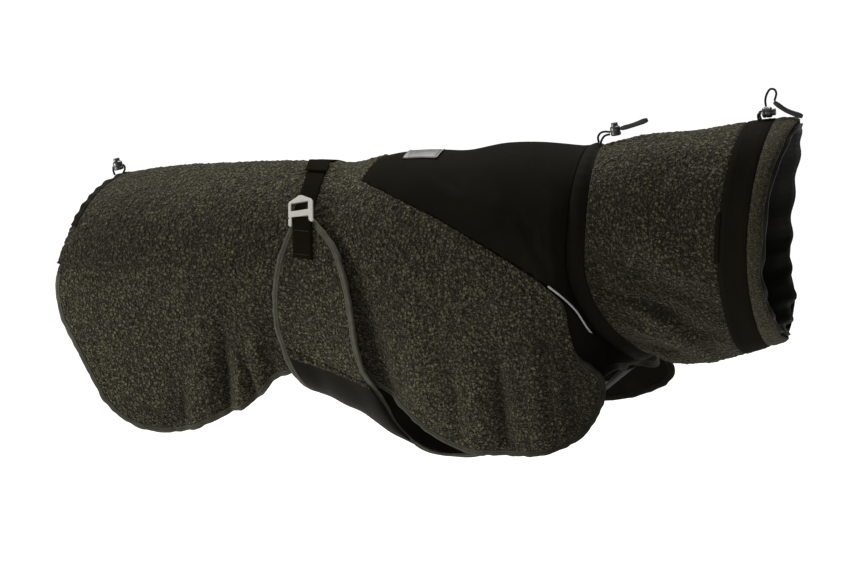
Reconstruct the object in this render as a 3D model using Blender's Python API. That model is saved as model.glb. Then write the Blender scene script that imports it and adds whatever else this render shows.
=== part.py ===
"""A dog's winter coat in its worn, hollow shape.

Metres. +X runs from the tail to the neck, +Z is up and the coat's right side is at -Y. The origin is the
inner face of the cloth on the middle of the back, under the belly strap, where the wearer's back holds it.

Most pieces lie on one body shape, a row of rings from the tail to the neck. A place on it is a station, the
ring's distance along X, and a girth, the distance down from the ridge round the right (+) or left (-) side.
"""

import math
from collections import namedtuple

import bmesh
import bpy
import numpy as np
from mathutils import Matrix, Vector

MM = 0.001
PILE = 3.0 * MM  # thickness of the pile cloth
WOVEN = 2.0 * MM  # thickness of the smooth woven shell
WEB = 1.6 * MM  # thickness of the webbing
SEAM = 0.3 * MM  # gap between two pieces sewn edge to edge
LAY = 0.6 * MM  # gap between two pieces that lie on each other

QUARTER = 140.0 * MM  # girth from the ridge to the widest line of the side

# Rings of the trunk in mm: height of the ridge, half the width, height of the widest line, and the height
# at which the two sides would close below. They stand upright.
Trunk = namedtuple("Trunk", "x top_z half_width side_z low_z")
TRUNK = (
    Trunk(-275, -40, 74, -118, -380),
    Trunk(-235, -27, 84, -112, -400),
    Trunk(-195, -18, 89, -108, -410),
    Trunk(-155, -12, 91, -105, -410),
    Trunk(-115, -8, 91, -103, -400),
    Trunk(-75, -4, 90, -101, -370),
    Trunk(-35, -1, 88, -100, -320),
    Trunk(0, 0, 86, -100, -268),
    Trunk(40, 2, 88, -102, -262),
    Trunk(80, 14, 92, -104, -282),
    Trunk(120, 20, 97, -107, -330),
    Trunk(160, 22, 100, -110, -370),
    Trunk(200, 31, 102, -112, -400),
    Trunk(240, 34, 102, -112, -410),
    Trunk(275, 33, 100, -110, -410),
)
# Past the last trunk ring the shoulder flaps run on, and the yoke turns towards the neck instead.
FLAP_FRONT = (
    Trunk(300, 34, 97, -112, -405),
    Trunk(325, 35, 91, -114, -400),
    Trunk(350, 36, 83, -116, -395),
    Trunk(375, 36, 72, -118, -390),
)
# Tilted rings in mm: place of the ridge, of the widest line and of the lowest line.
Ring = namedtuple("Ring", "station top_x top_z side_x half_width side_z low_x low_z")
NECK_BASE = Ring(0, 291, 34, 290, 79, -66, 350, -176)
YOKE_FRONT = (NECK_BASE._replace(station=300),)
COLLAR = (
    NECK_BASE,
    Ring(20, 306, 35, 309, 74, -64, 363, -168),
    Ring(54, 345, 46, 343, 72, -62, 385, -175),
    Ring(104, 395, 53, 390, 70, -58, 418, -171),
    Ring(152, 450, 64, 441, 69, -48, 456, -160),
    Ring(180, 479, 69, 469, 69, -43, 480, -150),
    Ring(195, 500, 71, 482, 70, -39, 497, -143),
)
NECK_SEAM, BAND_START, BAND_END, RIM = 20 * MM, 152 * MM, 180 * MM, 195 * MM

# Largest folds in mm, as soft ridges (+) and troughs (-) along a line seen from the side.
Fold = namedtuple("Fold", "x0 z0 x1 z1 width depth")
FOLDS = (
    Fold(-62, -120, -80, -262, 15, -4.0),
    Fold(-92, -150, -112, -270, 13, 3.0),
    Fold(-40, -150, -62, -245, 12, 3.5),
    Fold(-122, -200, -136, -280, 14, -3.0),
    Fold(-20, -130, -25, -215, 12, -3.0),
    Fold(95, -110, 108, -215, 16, -5.0),
    Fold(138, -120, 150, -228, 18, 3.0),
    Fold(228, -150, 236, -266, 14, -3.0),
    Fold(266, -140, 274, -260, 14, 2.5),
    Fold(200, -170, 205, -262, 13, 2.0),
    Fold(120, 0, 215, -20, 14, 1.6),
    Fold(170, -28, 246, -60, 14, -1.8),
    Fold(346, -70, 430, -140, 14, -3.5),
    Fold(352, -100, 420, -160, 11, 3.0),
    Fold(340, -20, 400, -70, 16, 2.0),
)
FOLD_START, FOLD_GROWTH = 0.25, 1.5  # share of its depth at which a fold starts, and its growth along the line
LEFT_FOLD_SHARE = 0.8  # the left side's folds are a little shallower
LEFT_FOLD_SHIFT = 9.0  # mm towards the neck

# Outline of the back panel in mm, seen from the side.
Point = namedtuple("Point", "x z")
YOKE_RIDGE = 72.0  # where the yoke's rear edge crosses the ridge
YOKE_TIP = Point(66, -8)
YOKE_CORNER = Point(276, -88)
YOKE_SEAM = (
    YOKE_TIP,
    Point(104, -18),
    Point(140, -29),
    Point(175, -41),
    Point(208, -55),
    Point(251, -75),
    YOKE_CORNER,
)
# The right side's seam between yoke and chest in mm, between the yoke's corner and the neck: x, y, z.
CHEST_SEAM = ((289.5, -96, -98.5), (302, -87, -113.5), (310, -75, -129))
WAIST = Point(66, -180)
REAR_RIDGE = -224.0
REAR_EDGE = (
    Point(-229, -28),
    Point(-240, -45),
    Point(-249, -70),
    Point(-261, -104),
    Point(-267, -142),
    Point(-261, -169),
    Point(-246, -193),
    Point(-230, -222),
    Point(-215, -250),
)
REAR_HEM = (
    REAR_EDGE[-1],
    Point(-195, -267),
    Point(-166, -277),
    Point(-135, -276.5),
    Point(-98, -262),
    Point(-62, -244),
    Point(-40, -228),
    Point(-25, -211),
    Point(-6, -202),
    Point(14, -190),
    Point(40, -181),
    WAIST,
)
LEFT_REAR_HEM = REAR_HEM[:4] + (
    Point(-98, -256),
    Point(-62, -234),
    Point(-40, -217),
    Point(-25, -204),
    Point(-6, -196),
    Point(14, -187),
    Point(40, -181),
    WAIST,
)
RIGHT_FRONT_EDGE = (
    Point(275.3, -88.2),
    Point(294, -105),
    Point(301, -134),
    Point(312, -164),
    Point(329, -180),
    Point(331, -193),
    Point(325, -214),
)
LEFT_FRONT_EDGE = RIGHT_FRONT_EDGE[:3] + (
    Point(316, -165),
    Point(346, -192),
    Point(359, -209),
    Point(351, -220),
)
FRONT_HEM = (
    WAIST,
    Point(84, -190),
    Point(101, -200),
    Point(128, -213),
    Point(156, -232),
    Point(187, -250),
)
RIGHT_FRONT_HEM = FRONT_HEM + (
    Point(218, -260.5),
    Point(250, -261.5),
    Point(289, -251),
    Point(312, -235),
    RIGHT_FRONT_EDGE[-1],
)
LEFT_FRONT_HEM = FRONT_HEM + (
    Point(216, -257),
    Point(250, -254),
    Point(289, -244),
    Point(320, -236),
    LEFT_FRONT_EDGE[-1],
)
ROWS_ABOVE_TIP, ROWS_BELOW_TIP = 2, 10
REAR_COLUMNS, FRONT_COLUMNS = 17, 16
HEM_TRIM = 5.0 * MM  # width of the binding round the hems
ELASTIC_TRIM = 8.0 * MM  # width of the elastic over the rump
HEM_BINDING_OVER, ELASTIC_OVER = 0.6 * MM, 0.7 * MM  # how far they stand above the cloth on each side
CHEST_BINDING_OVER, WING_BINDING_OVER = 0.4 * MM, 0.5 * MM
FRONT_BINDING_END = 7  # row of the front edge where the hem binding ends
ELASTIC_ROWS, PLAIN_ROWS = 4, 5  # rows of the rear edge that the elastic binds, and where the hem binding starts

# The belly flap: the side's wing of pile, then sections of the smooth belly piece, from its middle to its edge.
Wing = namedtuple("Wing", "rear_x rear_z front_x front_z")
WING = (
    Wing(5, -54, 23, -49),
    Wing(1, -65, 38, -59),
    Wing(-4, -80, 52, -72),
    Wing(-8, -98, 61, -89),
    Wing(-11, -118, 68, -110),
    Wing(-12, -136, 72, -134),
    Wing(-11, -156, 75, -163),
    Wing(-7, -174, 85, -202),
)
WING_OUT = 4.6 * MM
FRONT_LIFT = 3.5 * MM  # the wing's front edge stands off the back panel this much more
WING_COLUMNS, WING_ROWS = 5, 10
Belly = namedtuple("Belly", "middle_x middle_z edge_x edge_y edge_z wrap")
BELLY_FLAP = (
    Belly(17, -235, -7, 0, -174, 90),
    Belly(42, -243, 20, 0, -182, 90),
    Belly(66, -253, 43, 0, -189, 90),
    Belly(90, -266, 65, 0, -196, 90),
    Belly(110, -277, 85, 0, -202, 88),
)
BELLY_STRIP = (
    Belly(124, -283, 96, 83, -222, 80),
    Belly(138, -287, 106, 73, -246, 72),
    Belly(150, -290, 120, 61, -267, 62),
    Belly(164, -290.5, 144, 51, -281, 52),
    Belly(190, -286, 184, 47, -281, 42),
    Belly(230, -269, 228, 45, -263, 36),
    Belly(272, -243, 271, 44, -237, 34),
    Belly(312, -211, 311, 43, -205, 34),
    Belly(342, -184.5, 338, 42, -177.5, 34),
)
BELLY_ROUND = 0.8  # under 1 squares the belly's sections a little
BELLY_COLUMNS = 8  # from the middle to each edge
BELLY_STEPS = 20
WRAP_START = 7  # first step of the belly at which its edge carries the binding itself

# The chest's hem in mm, from the right side to the left: x, y, z.
CHEST_HEM = ((336, -77, -171), (341, -45, -174), (345, 0, -180), (350, 45, -192))
CHEST_COLUMNS = 3

STRAP_WIDTH = 20.0 * MM
STRAP_TOP_X = 0.5 * MM  # the strap crosses the ridge here and leans forward to its buckles
STRAP_LEAN_END = 60.0 * MM  # girth by which it has leaned all the way
STRAP_LIFT_RUN, STRAP_LIFTS = 14.0, (0.8, 1.8, 2.4)  # mm: it rises to the buckle over this height
KEEPER_WIDTH = STRAP_WIDTH + 4 * MM
BUCKLE_X, BUCKLE_Z = 11.6, -40.0  # mm
BUCKLE_LEAN = math.radians(12)
TAB_TOP, TAB_LOW = Point(14.6, -48.5), Point(19.4, -84.0)
TAB_WIDTH = 19.0 * MM
TAB_LIFTS = (0.9, 0.4, 0, 0, 0, 0)  # mm, from its loop on the buckle down
KEEPER_TOP, KEEPER_LOW = 7.0 * MM, 32.0 * MM  # girths

PATCH_START, PATCH_END, PATCH_TOP, PATCH_LOW = 102 * MM, 139 * MM, 3 * MM, 24 * MM
PATCH_THICK = 0.8 * MM

CORD = 2.2 * MM  # diameter of the drawcords


def even_slopes(values, knots):
    """The slope at each row of values, weighed by the steps beside it, for a smooth curve through them."""
    step = np.diff(knots)[:, None]
    slope = np.diff(values, axis=0) / step
    middle = (slope[:-1] * step[1:] + slope[1:] * step[:-1]) / (step[:-1] + step[1:])
    return np.vstack([slope[:1], middle, slope[-1:]])


def smooth_between(values, slopes, index, span, t):
    """The cubic between two rows of values, at a share t of the span between them."""
    return (
        values[index] * (1 + 2 * t) * (1 - t) ** 2
        + values[index + 1] * t * t * (3 - 2 * t)
        + slopes[index] * span * t * (1 - t) ** 2
        - slopes[index + 1] * span * t * t * (1 - t)
    )


def clear_scene():
    for thing in list(bpy.data.objects):
        bpy.data.objects.remove(thing, do_unlink=True)


def material(name, colour, roughness, metallic=0.0):
    """The one material of each kind of cloth or metal, made on its first use."""
    made = bpy.data.materials.get(name)
    if made:
        return made
    made = bpy.data.materials.new(name)
    made.use_nodes = True
    shader = made.node_tree.nodes["Principled BSDF"]
    shader.inputs["Base Color"].default_value = (*colour, 1.0)
    shader.inputs["Roughness"].default_value = roughness
    shader.inputs["Metallic"].default_value = metallic
    made.diffuse_color = (*colour, 1.0)
    return made


def pile_cloth():
    return material("pile", (0.032, 0.030, 0.020), 0.95)


def woven_cloth():
    return material("woven", (0.010, 0.009, 0.007), 0.6)


def binding_cloth():
    return material("binding", (0.07, 0.067, 0.05), 0.8)


def webbing():
    return material("webbing", (0.013, 0.011, 0.009), 0.75)


def elastic():
    return material("elastic", (0.008, 0.008, 0.006), 0.8)


def facing_cloth():
    return material("facing", (0.006, 0.005, 0.004), 0.7)


def aluminium():
    return material("aluminium", (0.8, 0.79, 0.76), 0.35, 1.0)


def reflective():
    return material("reflective", (0.55, 0.55, 0.52), 0.4)


def lock_plastic():
    return material("lock_plastic", (0.05, 0.05, 0.05), 0.35)


def cord_yarn():
    return material("cord", (0.01, 0.01, 0.01), 0.8)


# The body shape.


class Loft:
    """A smooth run of rings. rows holds each ring's seven sizes, and stations where each stands."""

    def __init__(self, stations, rows, last_shared=None):
        self.stations = np.array(stations, float)
        self.rows = np.array(rows, float)
        self.slopes = even_slopes(self.rows, self.stations)
        if last_shared is not None:
            # The ring where two lofts part takes its slope from behind, so that both leave it alike.
            behind = slice(last_shared - 1, last_shared + 1)
            self.slopes[last_shared] = np.diff(self.rows[behind], axis=0)[0] / np.diff(self.stations[behind])[0]

    def ring(self, station):
        """The seven sizes at a station: top_x, top_z, side_x, half_width, side_z, low_x, low_z."""
        index = int(np.clip(np.searchsorted(self.stations, station) - 1, 0, len(self.stations) - 2))
        span = self.stations[index + 1] - self.stations[index]
        return smooth_between(self.rows, self.slopes, index, span, (station - self.stations[index]) / span)

    def at_turn(self, station, turn):
        """The point at an angle from the ridge, in radians, on the right side where it is above 0."""
        top_x, top_z, side_x, half_width, side_z, low_x, low_z = self.ring(station)
        c = math.cos(turn)
        end_x, reach = (top_x, top_z - side_z) if c >= 0 else (low_x, side_z - low_z)
        return np.array([side_x + (end_x - side_x) * c * c, -half_width * math.sin(turn), side_z + reach * c])

    def turn(self, station, girth):
        """The angle at a girth: even steps down to the widest line, and even heights below it."""
        if abs(girth) <= QUARTER:
            return math.pi / 2 * girth / QUARTER
        ring = self.ring(station)
        drop = min((abs(girth) - QUARTER) / (ring[4] - ring[6]), 0.999)
        return math.copysign(math.pi / 2 + math.asin(drop), girth)

    def base(self, station, girth):
        return self.at_turn(station, self.turn(station, girth))

    def outward(self, station, turn):
        """The direction out of the body at a station and a turn."""
        small = 1e-4
        along = self.at_turn(station + small, turn) - self.at_turn(station - small, turn)
        around = self.at_turn(station, turn + small) - self.at_turn(station, turn - small)
        normal = np.cross(along, around)
        normal /= np.linalg.norm(normal)
        ring = self.ring(station)
        middle = np.array([ring[2], 0.0, ring[4]])
        return normal if normal @ (self.at_turn(station, turn) - middle) > 0 else -normal

    def turned(self, station, turn, out=0.0):
        """A point at a distance outside the body shape and its folds."""
        point = self.at_turn(station, turn)
        return point + self.outward(station, turn) * (out + fold_height(point))

    def skin(self, station, girth, out=0.0):
        return self.turned(station, self.turn(station, girth), out)

    def locate(self, x, z, side=1):
        """The station and girth of a point seen from the side."""
        station = x
        for _ in range(60):
            top_x, top_z, side_x, half_width, side_z, low_x, low_z = self.ring(station)
            if z > side_z:
                turn = math.acos(min((z - side_z) / (top_z - side_z), 1.0))
                girth = QUARTER * turn / (math.pi / 2)
            else:
                girth = QUARTER + side_z - z
            station += 0.4 * (x - self.base(station, girth)[0])
        return np.array([station, side * girth])


def fold_height(point):
    """How far the folds move the cloth out at a point."""
    x, y, z = point
    share = LEFT_FOLD_SHARE if y > 0 else 1.0
    shift = LEFT_FOLD_SHIFT * MM if y > 0 else 0.0
    height = 0.0
    for fold in FOLDS:
        start = np.array([fold.x0 * MM + shift, fold.z0 * MM])
        line = np.array([(fold.x1 - fold.x0) * MM, (fold.z1 - fold.z0) * MM])
        along = np.clip((np.array([x, z]) - start) @ line / (line @ line), 0, 1)
        apart = np.linalg.norm(np.array([x, z]) - start - along * line)
        across = math.exp(-((apart / (fold.width * MM)) ** 2))
        height += share * fold.depth * MM * across * min(1.0, FOLD_START + FOLD_GROWTH * along)
    return height


def upright(row):
    return [value * MM for value in (row.x, row.top_z, row.x, row.half_width, row.side_z, row.x, row.low_z)]


def tilted(row):
    return [value * MM for value in row[1:]]


def make_lofts():
    trunk_stations = [row.x * MM for row in TRUNK]
    trunk_rows = [upright(row) for row in TRUNK]
    shared = len(TRUNK) - 1
    flap_stations = [row.x * MM for row in FLAP_FRONT]
    yoke_stations = [row.station * MM for row in YOKE_FRONT]
    flap = Loft(trunk_stations + flap_stations, trunk_rows + [upright(row) for row in FLAP_FRONT], shared)
    yoke = Loft(trunk_stations + yoke_stations, trunk_rows + [tilted(row) for row in YOKE_FRONT], shared)
    collar = Loft([row.station * MM for row in COLLAR], [tilted(row) for row in COLLAR])
    return flap, yoke, collar


BODY, SHOULDERS, NECK = make_lofts()


# Lines and grids.


def curve_through(points):
    """A function of 0 to 1 along a smooth curve through the points, at an even pace."""
    points = np.array(points, float)
    knots = np.concatenate([[0], np.cumsum(np.linalg.norm(np.diff(points, axis=0), axis=1))])
    slopes = even_slopes(points, knots)

    def at(share):
        length = min(max(share, 0.0), 1.0) * knots[-1]
        index = int(np.clip(np.searchsorted(knots, length) - 1, 0, len(knots) - 2))
        span = knots[index + 1] - knots[index]
        return smooth_between(points, slopes, index, span, (length - knots[index]) / span)

    return at


def sampled(points, count):
    at = curve_through(points)
    return np.array([at(step / count) for step in range(count + 1)])


def side_view(points):
    return [np.array([point.x * MM, point.z * MM]) for point in points]


def moved_left(line, distance):
    """A flat line moved to the left of its direction."""
    line = np.array(line)
    tangent = np.gradient(line, axis=0)
    tangent /= np.linalg.norm(tangent, axis=1)[:, None]
    return line + distance * np.column_stack([-tangent[:, 1], tangent[:, 0]])


def located(loft, line, side):
    return np.array([loft.locate(x, z, side) for x, z in line])


def filled(top, low, start, end):
    """A grid between four lines: top and low run along it, start and end down it."""
    columns, rows = len(top) - 1, len(start) - 1
    grid = np.empty((columns + 1, rows + 1, top.shape[1]))
    for i in range(columns + 1):
        s = i / columns
        for j in range(rows + 1):
            t = j / rows
            grid[i, j] = (
                (1 - t) * top[i]
                + t * low[i]
                + (1 - s) * start[j]
                + s * end[j]
                - (1 - s) * (1 - t) * top[0]
                - s * (1 - t) * top[-1]
                - (1 - s) * t * low[0]
                - s * t * low[-1]
            )
    return grid


def on_skin(loft, grid, out):
    return np.array([[loft.skin(station, girth, out) for station, girth in column] for column in grid])


def outward_of(grid, middle):
    """The direction out of a middle point at each point of a grid."""
    normal = np.cross(np.gradient(grid, axis=0), np.gradient(grid, axis=1))
    normal /= np.linalg.norm(normal, axis=2)[:, :, None]
    return normal * np.sign(np.sum(normal * (grid - middle)))


# Solids.


def signed_volume(points, faces):
    """The volume that the faces close, negative where they face in."""
    total = 0.0
    for face in faces:
        for one, two in zip(face[1:], face[2:]):
            total += np.dot(points[face[0]], np.cross(points[one], points[two])) / 6
    return total


def add_mesh(name, points, faces, surface):
    mesh = bpy.data.meshes.new(name)
    if signed_volume(points, faces) < 0:
        faces = [tuple(reversed(face)) for face in faces]
    mesh.from_pydata([tuple(point) for point in points], [], faces)
    mesh.materials.append(surface)
    mesh.shade_smooth()
    mesh.set_sharp_from_angle(angle=math.radians(50))
    made = bpy.data.objects.new(name, mesh)
    bpy.context.scene.collection.objects.link(made)
    return made


def add_wall(name, inner, outer, surface, ring=False, absent=None):
    """A closed wall between two grids. A ring's last column joins its first, and absent cells stay open."""
    columns, rows = inner.shape[0] - (0 if ring else 1), inner.shape[1] - 1
    count = inner.shape[0] * inner.shape[1]
    index = np.arange(count).reshape(inner.shape[:2])
    present = {(i, j) for i in range(columns) for j in range(rows) if not (absent and absent(i, j))}
    wrap = inner.shape[0]
    faces = []
    for i, j in sorted(present):
        across = (i + 1) % wrap
        a, b, c, d = index[i, j], index[across, j], index[across, j + 1], index[i, j + 1]
        faces.append((a, b, c, d))
        faces.append((a + count, d + count, c + count, b + count))
        before = ((i - 1) % wrap if ring else i - 1, j)
        after = (across if ring else i + 1, j)
        for neighbour, one, two in ((before, d, a), (after, b, c), ((i, j - 1), a, b), ((i, j + 1), c, d)):
            if neighbour not in present:
                faces.append((two, one, one + count, two + count))
    used = sorted({corner for face in faces for corner in face})
    place = {corner: number for number, corner in enumerate(used)}
    points = np.concatenate([inner.reshape(-1, 3), outer.reshape(-1, 3)])[used]
    return add_mesh(name, points, [tuple(place[corner] for corner in face) for face in faces], surface)


def add_sweep(name, sections, surface, closed=False):
    """A solid through sections, each a loop of as many points."""
    sections = np.array(sections)
    count, sides = sections.shape[:2]
    faces = []
    for step in range(count if closed else count - 1):
        here, there = step * sides, (step + 1) % count * sides
        for side in range(sides):
            after = (side + 1) % sides
            faces.append((here + side, here + after, there + after, there + side))
    if not closed:
        faces.append(tuple(reversed(range(sides))))
        faces.append(tuple(range((count - 1) * sides, count * sides)))
    return add_mesh(name, sections.reshape(-1, 3), faces, surface)


def edge_sections(inner, outer, inside, width, extra, gap=SEAM):
    """Sections of a binding that runs just outside an edge. inside holds a point of the panel behind each."""
    middle, normal = (inner + outer) / 2, outer - inner
    half = np.linalg.norm(normal, axis=1) / 2 + extra
    normal /= np.linalg.norm(normal, axis=1)[:, None]
    along = np.gradient(middle, axis=0)
    away = np.cross(along, normal)
    away /= np.linalg.norm(away, axis=1)[:, None]
    away *= np.sign(np.sum(away * (middle - inside), axis=1))[:, None]
    profile = ((0, -0.8), (0.75, -1), (1, 0), (0.75, 1), (0, 0.8))
    return [
        [point + out * (gap + width * reach) + up * size * height for reach, height in profile]
        for point, out, up, size in zip(middle, away, normal, half)
    ]


def turned_profile(name, profile, foot, axis, surface, sides=12):
    """A round piece: profile rows of radius and height, standing on foot along axis."""
    axis = Vector(axis).normalized()
    place = Matrix.Translation(Vector(foot)) @ axis.to_track_quat("Z", "Y").to_matrix().to_4x4()
    points, faces = [place @ Vector((0, 0, profile[0][1]))], []
    for radius, height in profile:
        for side in range(sides):
            angle = 2 * math.pi * side / sides
            points.append(place @ Vector((radius * math.cos(angle), radius * math.sin(angle), height)))
    points.append(place @ Vector((0, 0, profile[-1][1])))
    for side in range(sides):
        after = (side + 1) % sides
        faces.append((0, 1 + after, 1 + side))
        for level in range(len(profile) - 1):
            low, high = 1 + level * sides, 1 + (level + 1) * sides
            faces.append((low + side, low + after, high + after, high + side))
        top = 1 + (len(profile) - 1) * sides
        faces.append((len(points) - 1, top + side, top + after))
    return add_mesh(name, points, faces, surface)


def add_cord(name, route, diameter):
    """A round cord along a smooth curve through its route."""
    length = sum((Vector(b) - Vector(a)).length for a, b in zip(route, route[1:]))
    points = sampled(route, max(6, int(length / (2 * diameter))))
    curve = bpy.data.curves.new(name, "CURVE")
    curve.dimensions = "3D"
    curve.bevel_depth = diameter / 2
    curve.bevel_resolution = 2
    curve.use_fill_caps = True
    spline = curve.splines.new("POLY")
    spline.points.add(len(points) - 1)
    for point, place in zip(spline.points, points):
        point.co = (*place, 1)
    curve.materials.append(cord_yarn())
    made = bpy.data.objects.new(name, curve)
    bpy.context.scene.collection.objects.link(made)
    return made


# The back panel, with its hems.


def back_panel_half(side):
    """Stations and girths of one side: columns from the tail to the shoulder flap, rows from the ridge down."""
    rows = ROWS_ABOVE_TIP + ROWS_BELOW_TIP
    gap = SEAM / 2
    rear_hem, front_hem, front_edge = (
        (REAR_HEM, RIGHT_FRONT_HEM, RIGHT_FRONT_EDGE)
        if side > 0
        else (LEFT_REAR_HEM, LEFT_FRONT_HEM, LEFT_FRONT_EDGE)
    )
    ridge_x = np.linspace(REAR_RIDGE * MM, YOKE_RIDGE * MM - gap, REAR_COLUMNS + 1)
    ridge = np.column_stack([ridge_x, np.zeros(REAR_COLUMNS + 1)])
    first = Point(REAR_RIDGE, BODY.base(REAR_RIDGE * MM, 0.0)[2] / MM)
    rear = located(BODY, sampled(side_view((first,) + REAR_EDGE), rows), side)
    rear[0] = ridge[0]
    hem = located(BODY, sampled(side_view(rear_hem), REAR_COLUMNS), side)
    tip = BODY.locate(YOKE_TIP.x * MM - gap, YOKE_TIP.z * MM - gap, side)
    waist = hem[-1]
    above = [ridge[-1] + (tip - ridge[-1]) * j / ROWS_ABOVE_TIP for j in range(ROWS_ABOVE_TIP)]
    below = [tip + (waist - tip) * j / ROWS_BELOW_TIP for j in range(ROWS_BELOW_TIP + 1)]
    middle = np.array(above + below)
    rear_half = filled(ridge, hem, rear, middle)
    seam = located(BODY, moved_left(sampled(side_view(YOKE_SEAM), FRONT_COLUMNS), -gap), side)
    seam[0] = tip
    flap_hem = located(BODY, sampled(side_view(front_hem), FRONT_COLUMNS), side)
    flap_hem[0] = waist
    front = located(BODY, sampled(side_view(front_edge), ROWS_BELOW_TIP), side)
    seam[-1], flap_hem[-1] = front[0], front[-1]
    front_half = filled(seam, flap_hem, middle[ROWS_ABOVE_TIP:], front)
    grid = np.empty((REAR_COLUMNS + FRONT_COLUMNS + 1, rows + 1, 2))
    grid[: REAR_COLUMNS + 1] = rear_half
    grid[REAR_COLUMNS + 1 :, ROWS_ABOVE_TIP:] = front_half[1:]
    # No cell uses the points above the yoke's seam, so they rest on it.
    grid[REAR_COLUMNS + 1 :, :ROWS_ABOVE_TIP] = front_half[1:, :1]
    return grid


def hem_path(inner, outer, side_rows, columns):
    """The rear edge, the hem and the front edge of one side, in order, with a point behind each."""
    last = inner.shape[1] - 1
    cells = [(0, j, 1, j) for j in range(side_rows[0], last)]
    cells += [(i, last, i, last - 1) for i in range(columns + 1)]
    cells += [(columns, j, columns - 1, j) for j in range(last - 1, side_rows[1], -1)]
    pick = [(i, j) for i, j, _, _ in cells]
    return (
        np.array([inner[i, j] for i, j in pick]),
        np.array([outer[i, j] for i, j in pick]),
        np.array([inner[k, m] for _, _, k, m in cells]),
    )


def build_back_panel():
    right, left = back_panel_half(1), back_panel_half(-1)
    grid = np.concatenate([right[:, ::-1], left[:, 1:]], axis=1)
    rows = ROWS_ABOVE_TIP + ROWS_BELOW_TIP

    def above_seam(i, j):
        return i >= REAR_COLUMNS and rows - ROWS_ABOVE_TIP <= j < rows + ROWS_ABOVE_TIP

    add_wall("back_panel", on_skin(BODY, grid, 0.0), on_skin(BODY, grid, PILE), pile_cloth(), absent=above_seam)
    for name, half in (("right", right), ("left", left)):
        inner, outer = on_skin(BODY, half, 0.0), on_skin(BODY, half, PILE)
        path = hem_path(inner, outer, (PLAIN_ROWS, FRONT_BINDING_END), half.shape[0] - 1)
        sections = edge_sections(*path, HEM_TRIM - SEAM, HEM_BINDING_OVER)
        add_sweep(f"hem_binding_{name}", sections, binding_cloth())
    order = [(right, j) for j in range(ELASTIC_ROWS, -1, -1)] + [(left, j) for j in range(1, ELASTIC_ROWS + 1)]
    inner = np.array([BODY.skin(*half[0, j], 0.0) for half, j in order])
    outer = np.array([BODY.skin(*half[0, j], PILE) for half, j in order])
    inside = np.array([BODY.skin(*half[1, j], 0.0) for half, j in order])
    add_sweep("rear_elastic", edge_sections(inner, outer, inside, ELASTIC_TRIM, ELASTIC_OVER), elastic())


# The yoke, the chest and the neck.


def neck_base_out(turn):
    """The direction in which the cloth is thick where the yoke meets the neck."""
    both = SHOULDERS.outward(YOKE_END, turn) + NECK.outward(0.0, turn)
    return both / np.linalg.norm(both)


NECK_SIDES = 36
YOKE_COLUMNS, YOKE_ROWS = 17, 13
YOKE_ON_BACK = 13  # columns of the yoke that end on the back panel
YOKE_END = YOKE_FRONT[0].station * MM
NECK_GAP = 0.4 * MM  # gap on each side of the seam round the neck
YOKE_END_TURN = 2 * math.pi * YOKE_ROWS / NECK_SIDES


def chest_seam(side, count):
    """Points from the yoke's corner to the neck, the direction in which cloth is thick at each, and the way down."""
    place = BODY.locate(YOKE_CORNER.x * MM, YOKE_CORNER.z * MM, side)
    middle = [np.array([x, side * y, z]) * MM for x, y, z in CHEST_SEAM]
    line = sampled([BODY.skin(*place), *middle, NECK.at_turn(0.0, side * YOKE_END_TURN)], count)
    first, last = BODY.outward(place[0], BODY.turn(*place)), neck_base_out(side * YOKE_END_TURN)
    thick = np.array([first + (last - first) * step / count for step in range(count + 1)])
    thick /= np.linalg.norm(thick, axis=1)[:, None]
    down = np.cross(np.gradient(line, axis=0), thick)
    down /= np.linalg.norm(down, axis=1)[:, None]
    return line, thick, down * -np.sign(down[:, 2:])


PIPING_ABOVE = 2.2 * MM  # the piping lies this far above the seam
PIPING_WIDTH, PIPING_THICK, PIPING_TAPER = 3.0 * MM, 1.3 * MM, 0.6
PIPING_STEPS, PIPING_ON_PILE = 16, 0.3
BODY_MIDDLE, CHEST_MIDDLE, BELLY_MIDDLE = (0.2, 0.0, -0.1), (0.25, 0.0, -0.1), (0.12, 0.0, -0.1)  # in metres


def yoke_rear(side):
    """The columns of the yoke that end on the back panel, as stations and girths."""
    gap = SEAM / 2
    ridge_x = np.linspace(YOKE_RIDGE * MM + gap, YOKE_END, YOKE_COLUMNS + 1)[: YOKE_ON_BACK + 1]
    ridge = np.column_stack([ridge_x, np.zeros(YOKE_ON_BACK + 1)])
    lower = located(BODY, moved_left(sampled(side_view(YOKE_SEAM), YOKE_ON_BACK), gap), side)
    lower[0] = BODY.locate(YOKE_TIP.x * MM + gap, YOKE_TIP.z * MM + gap, side)
    rear = [ridge[0] + (lower[0] - ridge[0]) * j / YOKE_ROWS for j in range(YOKE_ROWS + 1)]
    front = [ridge[-1] + (lower[-1] - ridge[-1]) * j / YOKE_ROWS for j in range(YOKE_ROWS + 1)]
    return filled(ridge, lower, np.array(rear), np.array(front))


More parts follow.
